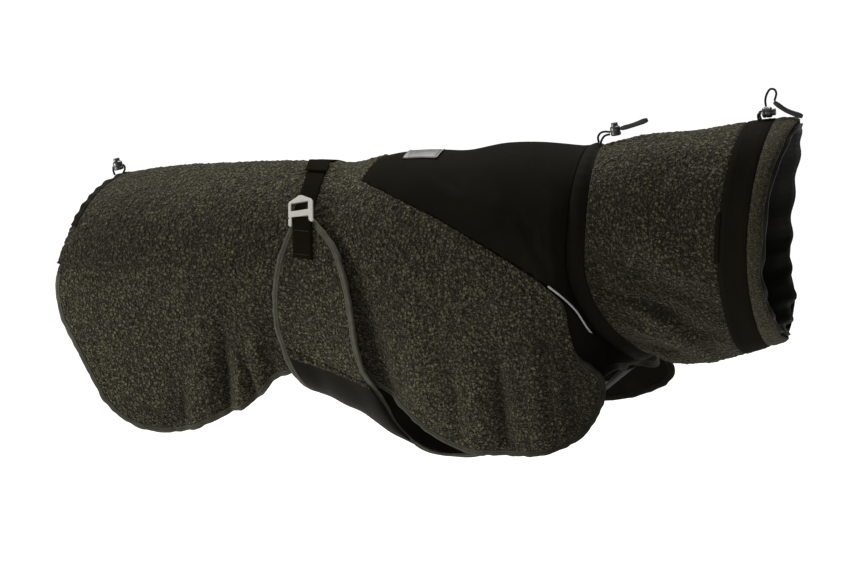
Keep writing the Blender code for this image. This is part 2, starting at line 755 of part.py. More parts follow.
def yoke_half(side):
    """Inner and outer points of one side of the yoke, from its ridge down."""
    places = yoke_rear(side)
    rear, rear_outer = on_skin(BODY, places, 0.0), on_skin(BODY, places, WOVEN)
    columns = YOKE_COLUMNS - YOKE_ON_BACK
    stations = places[-1, 0, 0] + (YOKE_END - NECK_GAP - places[-1, 0, 0]) * np.arange(columns + 1) / columns
    ridge = np.array([SHOULDERS.turned(station, 0.0) for station in stations])
    line, thick, down = chest_seam(side, columns)
    line[0] = rear[-1, -1]
    turns = [side * YOKE_END_TURN * j / YOKE_ROWS for j in range(YOKE_ROWS + 1)]
    neck = np.array([NECK.at_turn(-NECK_GAP, turn) for turn in turns])
    line[-1], ridge[-1] = neck[-1], neck[0]
    front = filled(ridge, line, rear[-1], neck)
    inner = np.concatenate([rear, front[1:]])
    outer = inner + WOVEN * outward_of(inner, np.array(BODY_MIDDLE))
    outer[: len(rear)] = rear_outer
    outer[len(rear) :, -1] = inner[len(rear) :, -1] + WOVEN * thick[1:]
    outer[-1] = inner[-1] + WOVEN * np.array([neck_base_out(turn) for turn in turns])
    # Both sides share the ridge, so its points keep to the middle plane.
    outer[:, 0, 1] = 0.0
    return inner, outer


def build_yoke():
    right, left = yoke_half(1), yoke_half(-1)
    inner, outer = [np.concatenate([one[:, ::-1], two[:, 1:]], axis=1) for one, two in zip(right, left)]
    add_wall("yoke", inner, outer, woven_cloth())
    for name, side in (("right", 1), ("left", -1)):
        line, thick, down = [part[1:-1] for part in chest_seam(side, PIPING_STEPS)]
        # Its rear end rests on the thicker pile cloth, and the rest on the yoke.
        lows = np.interp(np.linspace(0, 1, len(line)), (0, PIPING_ON_PILE), (PILE + LAY, WOVEN + LAY))[:, None]
        inner = line - down * PIPING_ABOVE + thick * lows
        outer = inner + thick * PIPING_THICK
        half = PIPING_WIDTH / 2
        sections = [
            [a - c * half, a + c * half, b + c * half * PIPING_TAPER, b - c * half * PIPING_TAPER]
            for a, b, c in zip(inner, outer, down)
        ]
        add_sweep(f"piping_{name}", sections, reflective())


CHEST_TUCK = 1.4 * MM  # the chest panel lies this far inside the back panel
CHEST_ALLOWANCE = 3.0 * MM  # width of it under the back panel
CHEST_SIDE_STEPS = YOKE_COLUMNS - YOKE_ON_BACK


def chest_lines():
    """Upper and lower edge of the chest panel's inner face, and the direction in which its upper edge is thick."""
    upper, lower, thick = [], [], []
    for side in (1, -1):
        seam, seam_thick, down = chest_seam(side, CHEST_SIDE_STEPS)
        edge = RIGHT_FRONT_EDGE if side > 0 else LEFT_FRONT_EDGE
        flap = sampled(side_view(edge[:5]), CHEST_SIDE_STEPS)[1:]
        inside = -CHEST_TUCK - WOVEN
        lower.append([BODY.skin(*BODY.locate(x - CHEST_ALLOWANCE, z, side), inside) for x, z in flap])
        upper.append(list((seam + down * 2 * NECK_GAP)[1:-1]))
        thick.append(list(seam_thick[1:-1]))
    turns = np.linspace(YOKE_END_TURN, 2 * math.pi - YOKE_END_TURN, NECK_SIDES - 2 * YOKE_ROWS + 1)
    across_top = [NECK.at_turn(-2 * NECK_GAP, turn) for turn in turns]
    across_top[0] = across_top[0] + down[-1] * np.array([1, -1, 1]) * 2 * NECK_GAP
    across_top[-1] = across_top[-1] + down[-1] * 2 * NECK_GAP
    across_thick = [neck_base_out(turn) for turn in turns]
    hem = [lower[0][-1]] + [np.array(point) * MM for point in CHEST_HEM] + [lower[1][-1]]
    across_hem = sampled(hem, len(turns) + 1)[1:-1]
    top = np.array(upper[0] + across_top + upper[1][::-1])
    low = np.array(lower[0][:-1] + list(across_hem) + lower[1][-2::-1])
    return top, low, np.array(thick[0] + across_thick + thick[1][::-1])


def build_chest():
    top, low, thick = chest_lines()
    share = np.linspace(0.0, 1.0, CHEST_COLUMNS + 1)[None, :, None]
    grid = top[:, None] * (1 - share) + low[:, None] * share
    normal = outward_of(grid, np.array(CHEST_MIDDLE))
    normal[:, 0] = thick
    inner, outer = grid, grid + normal * WOVEN
    add_wall("chest_panel", inner, outer, woven_cloth())
    start, end = CHEST_SIDE_STEPS - 1, len(top) - CHEST_SIDE_STEPS + 1
    path = inner[start:end, -1], outer[start:end, -1], inner[start:end, -2]
    sections = edge_sections(*path, HEM_TRIM, CHEST_BINDING_OVER, LAY)
    add_sweep("chest_hem_binding", sections, binding_cloth())


def add_neck_tube(name, stations, highs, surface):
    """A tube round the neck: a station and an outer distance for each of its rows."""
    turns = [2 * math.pi * step / NECK_SIDES for step in range(NECK_SIDES)]
    inner = np.array([[NECK.turned(station, turn) for station in stations] for turn in turns])
    outer = np.array([[NECK.turned(station, turn, high) for station, high in zip(stations, highs)] for turn in turns])
    return add_wall(name, inner, outer, surface, ring=True)


CASING_HIGHS = (WOVEN, 4.4 * MM, 2.4 * MM)  # the drawcord's casing is full in its middle
COLLAR_ROWS = 9
BAND_HIGHS = (3.0 * MM, 3.8 * MM, 3.8 * MM, 3.0 * MM)
BAND_ROUND = 2.0 * MM  # width over which the band's edges are rounded
EDGE_HIGHS = (3.0 * MM, 4.0 * MM, 3.8 * MM, 2.4 * MM)
EDGE_ROUND_START, EDGE_ROUND_END = 4.0 * MM, 3.0 * MM


def build_neck():
    low, high = NECK_GAP, NECK_SEAM - 2 * SEAM
    stations = [low, (low + high) / 2, high]
    turns = [2 * math.pi * step / NECK_SIDES for step in range(NECK_SIDES)]
    inner = np.array([[NECK.turned(station, turn, 0.0) for station in stations] for turn in turns])
    outer = np.array([[NECK.turned(station, turn, out) for station, out in zip(stations, CASING_HIGHS)] for turn in turns])
    outer[:, 0] = [point + WOVEN * neck_base_out(turn) for point, turn in zip(inner[:, 0], turns)]
    add_wall("neck_casing", inner, outer, woven_cloth(), ring=True)
    stations = np.linspace(NECK_SEAM, BAND_START - SEAM, COLLAR_ROWS)
    add_neck_tube("collar", stations, [PILE] * COLLAR_ROWS, pile_cloth())
    band = [BAND_START, BAND_START + BAND_ROUND, BAND_END - BAND_ROUND, BAND_END]
    add_neck_tube("collar_band", band, BAND_HIGHS, woven_cloth())
    edge = [BAND_END + SEAM, BAND_END + EDGE_ROUND_START, RIM - EDGE_ROUND_END, RIM]
    add_neck_tube("collar_edge", edge, EDGE_HIGHS, pile_cloth())
    build_facing()
    build_band_join()


GATHERS = 17  # soft waves round the collar's mouth
GATHER_DEPTH = 3.2 * MM
FACING_START = 132 * MM
FACING_TUCK = 1.7 * MM  # gap between the collar and its facing
FACING_THICK = 1.2 * MM
# Stations of the facing's rows, and the share of the gathers' depth at each.
FACING_ROWS = ((FACING_START, 0.0), (158 * MM, 0.4), (181 * MM, 1.0), (RIM - 0.6 * MM, 0.9))


def gather(turn):
    """0 to 1, uneven round the mouth and weaker over the ridge."""
    at_ridge, drift = 0.35, 0.9 * math.sin(3 * turn)
    strength = at_ridge + (1 - at_ridge) * math.sin(turn / 2) ** 2
    return strength * (1 + math.cos(GATHERS * turn + drift)) / 2


def build_facing():
    """The facing inside the collar's mouth, drawn into gathers at the rim."""
    count = 4 * GATHERS
    inner, outer = [], []
    for step in range(count):
        turn = 2 * math.pi * step / count
        wave = gather(turn)
        rows = [(station, -FACING_TUCK - GATHER_DEPTH * share * wave) for station, share in FACING_ROWS]
        outer.append([NECK.turned(station, turn, high) for station, high in rows])
        inner.append([NECK.turned(station, turn, high - FACING_THICK) for station, high in rows])
    add_wall("collar_facing", np.array(inner), np.array(outer), facing_cloth(), ring=True)


JOIN_TURNS = (64, 96)  # degrees round the neck from the ridge
JOIN_WIDTH, JOIN_THICK = 4.5 * MM, 1.0 * MM


def build_band_join():
    """The short tab that covers the band's ends on the right side."""
    turns = np.radians(np.linspace(*JOIN_TURNS, 7))
    end = BAND_START - 0.5 * MM
    stations = np.linspace(end - JOIN_WIDTH, end, 3)
    grids = [
        np.array([[NECK.turned(station, turn, out) for station in stations] for turn in turns])
        for out in (PILE + SEAM, PILE + SEAM + JOIN_THICK)
    ]
    add_wall("collar_band_join", *grids, woven_cloth())


# The belly flap.


def wing_out(across, down):
    """How far the wing lies outside the body: across from its rear to its front edge, down from its top."""
    return WING_OUT + FRONT_LIFT * across * across * min(2 * down, 1.0)


def wing_wall(side, extra):
    """The wing's points at a distance above its inner face."""
    grid = wing_grid(side)
    return np.array(
        [
            [BODY.skin(*place, wing_out(i / WING_COLUMNS, j / WING_ROWS) + extra) for j, place in enumerate(column)]
            for i, column in enumerate(grid)
        ]
    )


def wing_grid(side):
    """The wing's points as stations and girths: columns from its rear to its front edge, rows down it."""
    rear = sampled(side_view([Point(row.rear_x, row.rear_z) for row in WING]), WING_ROWS)
    front = sampled(side_view([Point(row.front_x, row.front_z) for row in WING]), WING_ROWS)
    rows = [np.linspace(a, b, WING_COLUMNS + 1) for a, b in zip(rear, front)]
    return np.array([located(BODY, row, side) for row in rows]).transpose(1, 0, 2)


def belly_sections():
    """Middle and edge of each section of the belly piece, with the angle that it wraps."""
    sections = []
    for number, row in enumerate(BELLY_FLAP):
        place = BODY.locate(row.edge_x * MM, (row.edge_z - 1.1) * MM, 1)
        edge = BODY.skin(*place, wing_out(number / (len(BELLY_FLAP) - 1), 1.0))
        sections.append((row.middle_x * MM, row.middle_z * MM, *edge, row.wrap * MM))
    for row in BELLY_STRIP:
        edge = row.edge_x * MM, -row.edge_y * MM, row.edge_z * MM
        sections.append((row.middle_x * MM, row.middle_z * MM, *edge, row.wrap * MM))
    return sampled(sections, BELLY_STEPS)


def belly_point(section, share, side):
    """A point of a section: share 0 on the middle line and 1 on the edge."""
    middle_x, middle_z, edge_x, edge_y, edge_z, wrap = section
    wrap = math.radians(wrap / MM)
    angle = share * wrap
    y = side * edge_y * (math.sin(angle) / math.sin(wrap)) ** BELLY_ROUND
    rise = 1 - ((math.cos(angle) - math.cos(wrap)) / (1 - math.cos(wrap))) ** BELLY_ROUND
    return np.array([middle_x + (edge_x - middle_x) * share * share, y, middle_z + (edge_z - middle_z) * rise])


def build_belly():
    sections = belly_sections()
    shares = np.linspace(-1, 1, 2 * BELLY_COLUMNS + 1)
    grid = np.array([[belly_point(section, abs(share), -np.sign(share)) for share in shares] for section in sections])
    normal = outward_of(grid, np.array(BELLY_MIDDLE))
    inner, outer = grid, grid + normal * WOVEN
    add_wall("belly_panel", inner, outer, woven_cloth())
    for name, side in (("right", 1), ("left", -1)):
        low, high = wing_wall(side, 0.0), wing_wall(side, PILE)
        add_wall(f"wing_{name}", low, high, pile_cloth())
        add_wing_binding(name, side, low, high, inner, outer)


def add_wing_binding(name, side, wing_inner, wing_outer, belly_inner, belly_outer):
    """One binding from the middle of the belly's rear edge up round the wing and on to the chest."""
    middle = BELLY_COLUMNS
    toward = -1 if side > 0 else 1
    rows, columns = wing_inner.shape[1] - 1, wing_inner.shape[0] - 1
    start = 0 if side > 0 else 1
    steps = [("belly", 0, middle + toward * k, 1, middle + toward * k) for k in range(start, BELLY_COLUMNS + 1)]
    steps += [("wing", 0, j, 1, j) for j in range(rows - 1, 0, -1)]
    steps += [("wing", i, 0, i, 1) for i in range(columns + 1)]
    steps += [("wing", columns, j, columns - 1, j) for j in range(1, rows)]
    edge = middle + toward * BELLY_COLUMNS
    steps += [("belly", i, edge, i, edge - toward) for i in range(WRAP_START, len(belly_inner) - 1)]
    grids = {"belly": (belly_inner, belly_outer), "wing": (wing_inner, wing_outer)}
    inner = np.array([grids[kind][0][i, j] for kind, i, j, _, _ in steps])
    outer = np.array([grids[kind][1][i, j] for kind, i, j, _, _ in steps])
    inside = np.array([grids[kind][0][k, m] for kind, _, _, k, m in steps])
    sections = edge_sections(inner, outer, inside, HEM_TRIM - LAY, WING_BINDING_OVER, 2 * LAY)
    add_sweep(f"wing_binding_{name}", sections, binding_cloth())


# Strap, buckles and tabs.


def add_strip(name, girths, outs, centres, width, thickness, surface):
    """A flat strip round the body: a girth, a distance outside the body and a station for each row."""
    halves = (-width / 2, width / 2)
    rows = list(zip(girths, outs, centres))
    inner = np.array([[BODY.skin(x + half, girth, out) for girth, out, x in rows] for half in halves])
    outer = np.array([[BODY.skin(x + half, girth, out + thickness) for girth, out, x in rows] for half in halves])
    return add_wall(name, inner, outer, surface)


def strap_centre(girth):
    """The strap's station at a girth."""
    share = min(abs(girth) / STRAP_LEAN_END, 1.0)
    return STRAP_TOP_X + (BUCKLE_X * MM - STRAP_TOP_X) * share * (2 - share)


def build_strap():
    end = BODY.locate(BUCKLE_X * MM, (BUCKLE_Z - 2.5) * MM)[1]
    lift_start = BODY.locate(BUCKLE_X * MM, (BUCKLE_Z + STRAP_LIFT_RUN) * MM)[1]
    side_girths = np.concatenate([np.linspace(0, lift_start, 9), np.linspace(lift_start, end, 4)[1:]])
    side_outs = [PILE + LAY] * 9 + [PILE + LAY + lift * MM for lift in STRAP_LIFTS]
    girths = np.concatenate([-side_girths[::-1], side_girths[1:]])
    outs = side_outs[::-1] + side_outs[1:]
    add_strip("back_strap", girths, outs, [strap_centre(girth) for girth in girths], STRAP_WIDTH, WEB, webbing())
    over = PILE + LAY + WEB + LAY
    keeper = np.linspace(KEEPER_TOP, KEEPER_LOW, 6)
    centres = [strap_centre(girth) for girth in keeper]
    add_strip("strap_keeper", keeper, [over] * 6, centres, KEEPER_WIDTH, WEB, webbing())
    for name, side in (("right", 1), ("left", -1)):
        build_buckle(name, side)
        build_tab(name, side)


# Outline of the buckle in mm, half of it: its frame's outer edge and its window, across and up.
BUCKLE_FRAME = (
    (0, 15.5),
    (2, 15.5),
    (12, 9.5),
    (13, -3),
    (13, -12),
    (12, -14.5),
    (10.4, -14.5),
    (10.4, -6.5),
    (0, -6.5),
)
BUCKLE_WINDOW = ((0, 11.8), (1.5, 11.8), (9.2, 7.3), (9.6, -2), (0, -2))
BUCKLE_THICK, BUCKLE_CLEAR = 2.8 * MM, 1.2 * MM


def build_buckle(name, side):
    """A cast frame with a window for the strap, a bar and two legs that hook on the tab's loop."""
    station, girth = BODY.locate(BUCKLE_X * MM, BUCKLE_Z * MM, side)
    turn = BODY.turn(station, girth)
    up = Vector(BODY.outward(station, turn))
    middle = Vector(BODY.skin(station, girth, WING_OUT + PILE + BUCKLE_CLEAR))
    across = Vector((1, 0, 0))
    across = (across - across.dot(up) * up).normalized()
    climb = up.cross(across) * (1 if up.cross(across).z > 0 else -1)
    lean = math.cos(BUCKLE_LEAN), math.sin(BUCKLE_LEAN)
    across, climb = across * lean[0] + climb * lean[1], climb * lean[0] - across * lean[1]

    def both_sides(half):
        return list(half) + [(-x, y) for x, y in reversed(half) if x > 0]

    def place(x, y, height):
        return middle + (across * x + climb * y) * MM + up * height

    shape = bmesh.new()
    loops = []
    for half in (BUCKLE_FRAME, BUCKLE_WINDOW):
        corners = [shape.verts.new(place(x, y, 0)) for x, y in both_sides(half)]
        loops += [shape.edges.new((a, b)) for a, b in zip(corners, corners[1:] + corners[:1])]
    filled_faces = bmesh.ops.triangle_fill(shape, edges=loops, use_beauty=True)
    faces = [item for item in filled_faces["geom"] if isinstance(item, bmesh.types.BMFace)]
    raised = bmesh.ops.extrude_face_region(shape, geom=faces)
    top = [item for item in raised["geom"] if isinstance(item, bmesh.types.BMVert)]
    bmesh.ops.translate(shape, verts=top, vec=up * BUCKLE_THICK)
    bmesh.ops.recalc_face_normals(shape, faces=shape.faces)
    mesh = bpy.data.meshes.new(f"buckle_{name}")
    shape.to_mesh(mesh)
    shape.free()
    mesh.materials.append(aluminium())
    made = bpy.data.objects.new(f"buckle_{name}", mesh)
    bpy.context.scene.collection.objects.link(made)


def build_tab(name, side):
    low = WING_OUT + PILE + WING_BINDING_OVER + LAY
    top, bottom = [BODY.locate(point.x * MM, point.z * MM)[1] for point in (TAB_TOP, TAB_LOW)]
    girths = np.linspace(top, bottom, 6) * side
    centres = np.linspace(TAB_TOP.x, TAB_LOW.x, 6) * MM
    outs = [low + lift * MM for lift in TAB_LIFTS]
    add_strip(f"tab_{name}", girths, outs, centres, TAB_WIDTH, WEB, webbing())


# The patch and the drawcords.


def build_patch():
    stations, girths = np.linspace(PATCH_START, PATCH_END, 4), np.linspace(PATCH_TOP, PATCH_LOW, 4)
    grids = [
        np.array([[SHOULDERS.skin(station, girth, out) for girth in girths] for station in stations])
        for out in (WOVEN + LAY, WOVEN + LAY + PATCH_THICK)
    ]
    add_wall("back_patch", *grids, reflective())


# Profile of a cord lock in mm: radius and height. The top step is its push button.
LOCK = ((4.2, 0), (5.2, 1.0), (5.2, 8.4), (4.2, 9.4), (3.4, 9.6), (3.4, 13.0))
# Drawcords in mm: the lock's foot and direction, the route of each run of cord from the casing to the lock,
# and the middle line of the moulded end.
Draw = namedtuple("Draw", "name foot axis runs end")
DRAWS = (
    Draw(
        "tail",
        (-232.5, -1, -18.2),
        (-0.28, 0, 1),
        (
            ((-239.4, 2, -24.6), (-240.6, 1.6, -21.5), (-240.6, 0.6, -18.0), (-239.9, -0.2, -15.1)),
            ((-227, -3, -21.1), (-225.4, -2.6, -17.6), (-225.5, -1.8, -14.6), (-227.6, -1.2, -12.0)),
        ),
        (),
    ),
    Draw(
        "neck",
        (318.6, -1, 47.6),
        (-0.2, 0, 1),
        (
            ((299.6, 3, 38.8), (298.6, 3, 44.2), (301.4, 2, 48.8), (306.4, 0.8, 50.6), (312.1, -0.4, 50.7)),
            ((303.0, -3.4, 38.3), (304.4, -3.4, 43.0), (307.6, -3.2, 47.2), (312.6, -3.2, 48.8)),
        ),
        ((323.0, -1.4, 54.8), (335, -2.4, 58.8), (351, -3.5, 65.4)),
    ),
    Draw(
        "collar",
        (465.2, -1, 77.6),
        (1, 0, 0.12),
        (
            ((462.9, 3.6, 70.4), (461.6, 3.4, 74.0), (461.6, 2.4, 77.4), (464.1, 1.0, 78.7)),
            ((463.1, -5.6, 70.2), (461.8, -5.4, 73.6), (461.9, -4.4, 76.4), (464.3, -3.2, 77.3)),
        ),
        ((475.2, -1.2, 86.9), (488, -2, 81.4), (505, -3, 76.0)),
    ),
)
# The collar cord's free loop above its lock, in mm.
LOOP = (
    (468.4, -1, 83.6),
    (467.6, -1.2, 90),
    (469.2, -1.4, 96.6),
    (472.8, -1.6, 101.2),
    (476.4, -1.6, 100.8),
    (478.2, -1.4, 97),
    (477.4, -1.2, 92.8),
    (476.6, -1.2, 89.9),
)
END_WIDTH, END_THICK = 5.5 * MM, 3.0 * MM
END_SECTION = ((-1, -0.5), (-0.5, -1), (0.5, -1), (1, -0.5), (1, 0.5), (0.5, 1), (-0.5, 1), (-1, 0.5))
END_SIZES = (0.75, 0.9, 0.85, 0.85, 0.9, 1.0, 0.85)  # share of its full size from its root to its tip


def build_draws():
    profile = [(radius * MM, height * MM) for radius, height in LOCK]
    for draw in DRAWS:
        turned_profile(f"lock_{draw.name}", profile, Vector(draw.foot) * MM, draw.axis, lock_plastic())
        for number, route in enumerate(draw.runs, 1):
            add_cord(f"cord_{draw.name}_{number}", [np.array(point) * MM for point in route], CORD)
        if draw.end:
            build_cord_end(f"cord_end_{draw.name}", [np.array(point) * MM for point in draw.end])
    add_cord("cord_loop", [np.array(point) * MM for point in LOOP], CORD)


def build_cord_end(name, route):
    """The flat moulded end that joins both runs of a drawcord."""
    middles = sampled(route, len(END_SIZES) - 1)
    along = np.gradient(middles, axis=0)
    along /= np.linalg.norm(along, axis=1)[:, None]
    sections = []
    for middle, direction, size in zip(middles, along, END_SIZES):
        flat = np.cross(direction, (0.0, 1.0, 0.0))
        across = np.cross(direction, flat)
        reach = flat * size * END_WIDTH / 2, across * size * END_THICK / 2
        sections.append([middle + reach[0] * x + reach[1] * y for x, y in END_SECTION])
    add_sweep(name, sections, cord_yarn())


def main():
    clear_scene()
    build_back_panel()
    build_yoke()
    build_chest()
    build_neck()
    build_belly()
    build_strap()
    build_patch()
    build_draws()


main()
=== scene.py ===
"""The looks of a dog's winter coat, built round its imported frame.

The coat's solids give each piece its place. This script covers them with cloth of the same shape at a finer
step: curls of pile, creases, seams, stitches, and the cast and moulded fittings. Metres, +X towards the neck,
+Z up, the coat's right side at -Y. A place on the body shape is a station along X and a girth down from the
ridge round the right (+) or left (-) side. The tables of shape are in millimetres.
"""

import math
from collections import namedtuple

import bmesh
import bpy
import numpy as np
from mathutils import Matrix, Vector, kdtree


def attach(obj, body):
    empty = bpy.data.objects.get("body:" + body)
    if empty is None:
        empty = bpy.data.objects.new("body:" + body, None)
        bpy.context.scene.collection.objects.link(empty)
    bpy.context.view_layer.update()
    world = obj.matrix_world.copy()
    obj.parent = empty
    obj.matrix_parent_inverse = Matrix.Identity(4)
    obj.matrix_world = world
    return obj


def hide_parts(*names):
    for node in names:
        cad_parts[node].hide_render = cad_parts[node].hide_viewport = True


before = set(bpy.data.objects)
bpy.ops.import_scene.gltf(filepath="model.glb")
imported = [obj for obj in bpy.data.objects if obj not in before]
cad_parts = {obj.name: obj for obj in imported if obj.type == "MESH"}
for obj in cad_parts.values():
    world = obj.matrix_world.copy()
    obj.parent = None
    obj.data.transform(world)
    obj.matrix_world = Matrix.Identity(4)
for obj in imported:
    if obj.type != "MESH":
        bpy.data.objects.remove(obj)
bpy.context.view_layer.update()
MM = 0.001
FULL_TURN = 2 * math.pi
SIDES = (("right", 1), ("left", -1))

# The camera, at the photograph's angle.

AZIMUTH, ELEVATION, DISTANCE = math.radians(20), math.radians(12), 2.6
TARGET = np.array([0.1113, 0.0129, -0.1200])
FOCAL_PX, FRAME_WIDTH_PX, SENSOR_MM, FARTHEST = 2500.0, 850.0, 36.0, 60.0


def make_camera():
    right = np.array([math.cos(AZIMUTH), math.sin(AZIMUTH), 0.0])
    level = math.cos(ELEVATION)
    back = np.array([math.sin(AZIMUTH) * level, -math.cos(AZIMUTH) * level, math.sin(ELEVATION)])
    data = bpy.data.cameras.new("camera")
    data.sensor_width, data.sensor_fit = SENSOR_MM, "HORIZONTAL"
    data.lens = SENSOR_MM * FOCAL_PX / FRAME_WIDTH_PX
    data.clip_end = FARTHEST
    camera = bpy.data.objects.new("camera", data)
    place = np.eye(4)
    place[:3] = np.column_stack([right, np.cross(back, right), back, TARGET + DISTANCE * back])
    camera.matrix_world = Matrix(place.tolist())
    bpy.context.scene.collection.objects.link(camera)
    bpy.context.scene.camera = camera


make_camera()

# Sizes of the cloth, the same as the solids'.

PILE, WOVEN, WEB, SEAM, LAY = 3.0 * MM, 2.0 * MM, 1.6 * MM, 0.3 * MM, 0.6 * MM
QUARTER, HALF_SEAM = 140.0 * MM, SEAM / 2


def table(width, *values):
    """Rows of so many numbers each."""
    return np.array(values, float).reshape(-1, width)


# Rings of the trunk: station, height of the ridge, half the width, height of the widest line, and the height
# at which the two sides would close below.
TRUNK = table(
    5,
    *(-275, -40, 74, -118, -380, -235, -27, 84, -112, -400, -195, -18, 89, -108, -410),
    *(-155, -12, 91, -105, -410, -115, -8, 91, -103, -400, -75, -4, 90, -101, -370),
    *(-35, -1, 88, -100, -320, 0, 0, 86, -100, -268, 40, 2, 88, -102, -262),
    *(80, 14, 92, -104, -282, 120, 20, 97, -107, -330, 160, 22, 100, -110, -370),
    *(200, 31, 102, -112, -400, 240, 34, 102, -112, -410, 275, 33, 100, -110, -410),
)
FLAP_FRONT = table(
    5,
    *(300, 34, 97, -112, -405, 325, 35, 91, -114, -400),
    *(350, 36, 83, -116, -395, 375, 36, 72, -118, -390),
)
# Tilted rings: station, then places of the ridge (x, z), of the widest line (x, y, z) and of the lowest (x, z).
COLLAR = table(
    8,
    *(0, 291, 34, 290, 79, -66, 350, -176),
    *(20, 306, 35, 309, 74, -64, 363, -168),
    *(54, 345, 46, 343, 72, -62, 385, -175),
    *(104, 395, 53, 390, 70, -58, 418, -171),
    *(152, 450, 64, 441, 69, -48, 456, -160),
    *(180, 479, 69, 469, 69, -43, 480, -150),
    *(195, 500, 71, 482, 70, -39, 497, -143),
)
YOKE_END = 300 * MM
NECK_SEAM, BAND_START, BAND_END, RIM = 20 * MM, 152 * MM, 180 * MM, 195 * MM

# Folds as soft ridges (+) and troughs (-) along a line seen from the side: x and z of both its ends, width and
# depth. The first table has the solids' own, and the second finer creases that only the cloth here has.
FOLDS = table(
    6,
    *(-62, -120, -80, -262, 15, -4.0, -92, -150, -112, -270, 13, 3.0, -40, -150, -62, -245, 12, 3.5),
    *(-122, -200, -136, -280, 14, -3.0, -20, -130, -25, -215, 12, -3.0, 95, -110, 108, -215, 16, -5.0),
    *(138, -120, 150, -228, 18, 3.0, 228, -150, 236, -266, 14, -3.0, 266, -140, 274, -260, 14, 2.5),
    *(200, -170, 205, -262, 13, 2.0, 120, 0, 215, -20, 14, 1.6, 170, -28, 246, -60, 14, -1.8),
    *(346, -70, 430, -140, 14, -3.5, 352, -100, 420, -160, 11, 3.0, 340, -20, 400, -70, 16, 2.0),
)
CREASES = table(
    6,
    *(-74, -158, -73, -250, 5, -4.8, -52, -176, -46, -240, 5, -5.2, -62, -185, -60, -246, 5, 2.2),
    *(-37, -175, -35, -225, 6, 2.0, -121, -220, -123, -274, 5, -2.4, -92, -200, -96, -268, 5, 1.0),
    *(-150, -215, -160, -276, 8, -1.0, 73, -80, 86, -150, 10, -3.6, 86, -150, 108, -214, 9, -3.8),
    *(104, -120, 122, -214, 7, 1.3, 180, -165, 186, -250, 7, -2.2, 229, -150, 235, -248, 6, -3.4),
    *(246, -165, 252, -250, 6, 1.0, 276, -118, 282, -230, 8, -2.8, 296, -150, 304, -225, 6, -1.2),
    *(300, -128, 312, -222, 15, -2.4, 323, -90, 392, -112, 6, -2.8, 338, -104, 402, -130, 6, 1.6),
    *(364, -74, 448, -112, 13, -2.7, 330, -124, 388, -140, 6, 2.6, 388, -140, 446, -144, 6, 2.2),
    *(334, -146, 394, -158, 6, -3.4, 352, -66, 412, -92, 7, -1.2, 352, 8, 430, 34, 7, -0.9),
    *(340, 30, 404, 44, 5, 0.8, 128, 10, 176, -6, 4, -0.8, 150, -16, 232, -30, 5, -0.9),
    *(206, 10, 262, -40, 6, -1.3, 240, -20, 282, -78, 5, -1.2, 262, 24, 284, -20, 5, -1.1),
)
FOLD_START, FOLD_GROWTH = 0.25, 1.5
LEFT_FOLD_SHARE, LEFT_FOLD_SHIFT = 0.8, 9.0


def outline(*values):
    """A line of points (x, z) seen from the side, in metres."""
    return table(2, *values) * MM


YOKE_RIDGE, REAR_RIDGE = 72.0 * MM, -224.0 * MM
YOKE_SEAM = outline(66, -8, 104, -18, 140, -29, 175, -41, 208, -55, 251, -75, 276, -88)
YOKE_TIP, YOKE_CORNER = YOKE_SEAM[0], YOKE_SEAM[-1]
CHEST_SEAM = table(3, 289.5, -96, -98.5, 302, -87, -113.5, 310, -75, -129) * MM
WAIST = (66, -180)
REAR_EDGE = outline(
    -229, -28, -240, -45, -249, -70, -261, -104, -267, -142, -261, -169, -246, -193, -230, -222, -215, -250
)
REAR_HEM_START = (-215, -250, -195, -267, -166, -277, -135, -276.5)
HEMS = {
    1: outline(
        *REAR_HEM_START, -98, -262, -62, -244, -40, -228, -25, -211, -6, -202, 14, -190, 40, -181, *WAIST
    ),
    -1: outline(
        *REAR_HEM_START, -98, -256, -62, -234, -40, -217, -25, -204, -6, -196, 14, -187, 40, -181, *WAIST
    ),
}
FRONT_EDGE_START = (275.3, -88.2, 294, -105, 301, -134)
FRONT_EDGES = {
    1: outline(*FRONT_EDGE_START, 312, -164, 329, -180, 331, -193, 325, -214),
    -1: outline(*FRONT_EDGE_START, 316, -165, 346, -192, 359, -209, 351, -220),
}
# The near flap's hem hangs up to 17 mm lower than the solid's behind the wing, where the photograph shows it.
FRONT_HEMS = {
    1: outline(
        *(*WAIST, 84, -197, 101, -213, 128, -228.5, 156, -249, 187, -261.5),
        *(218, -263, 250, -261.5, 289, -251, 312, -235, 325, -214),
    ),
    -1: outline(
        *(*WAIST, 84, -190, 101, -200, 128, -213, 156, -232, 187, -250),
        *(216, -257, 250, -254, 289, -244, 320, -236, 351, -220),
    ),
}
HEM_TRIM, ELASTIC_TRIM = 5.0 * MM, 8.0 * MM

# Each row of a wing: where it starts behind and ends in front (x, z).
WING = outline(
    *(5, -54, 23, -49, 1, -65, 38, -59, -4, -80, 52, -72, -8, -98, 61, -89),
    *(-11, -118, 68, -110, -12, -136, 72, -134, -11, -156, 75, -163, -7, -174, 85, -202),
).reshape(-1, 2, 2)
WING_OUT, FRONT_LIFT = 4.6 * MM, 3.5 * MM
# Sections of the belly's flap: its middle (x, z), its edge (x, z) and the angle that it wraps, in degrees.
BELLY_FLAP = table(
    5,
    *(17, -235, -7, -174, 90, 42, -243, 20, -182, 90, 66, -253, 43, -189, 90),
    *(90, -266, 65, -196, 90, 110, -277, 85, -202, 88),
)
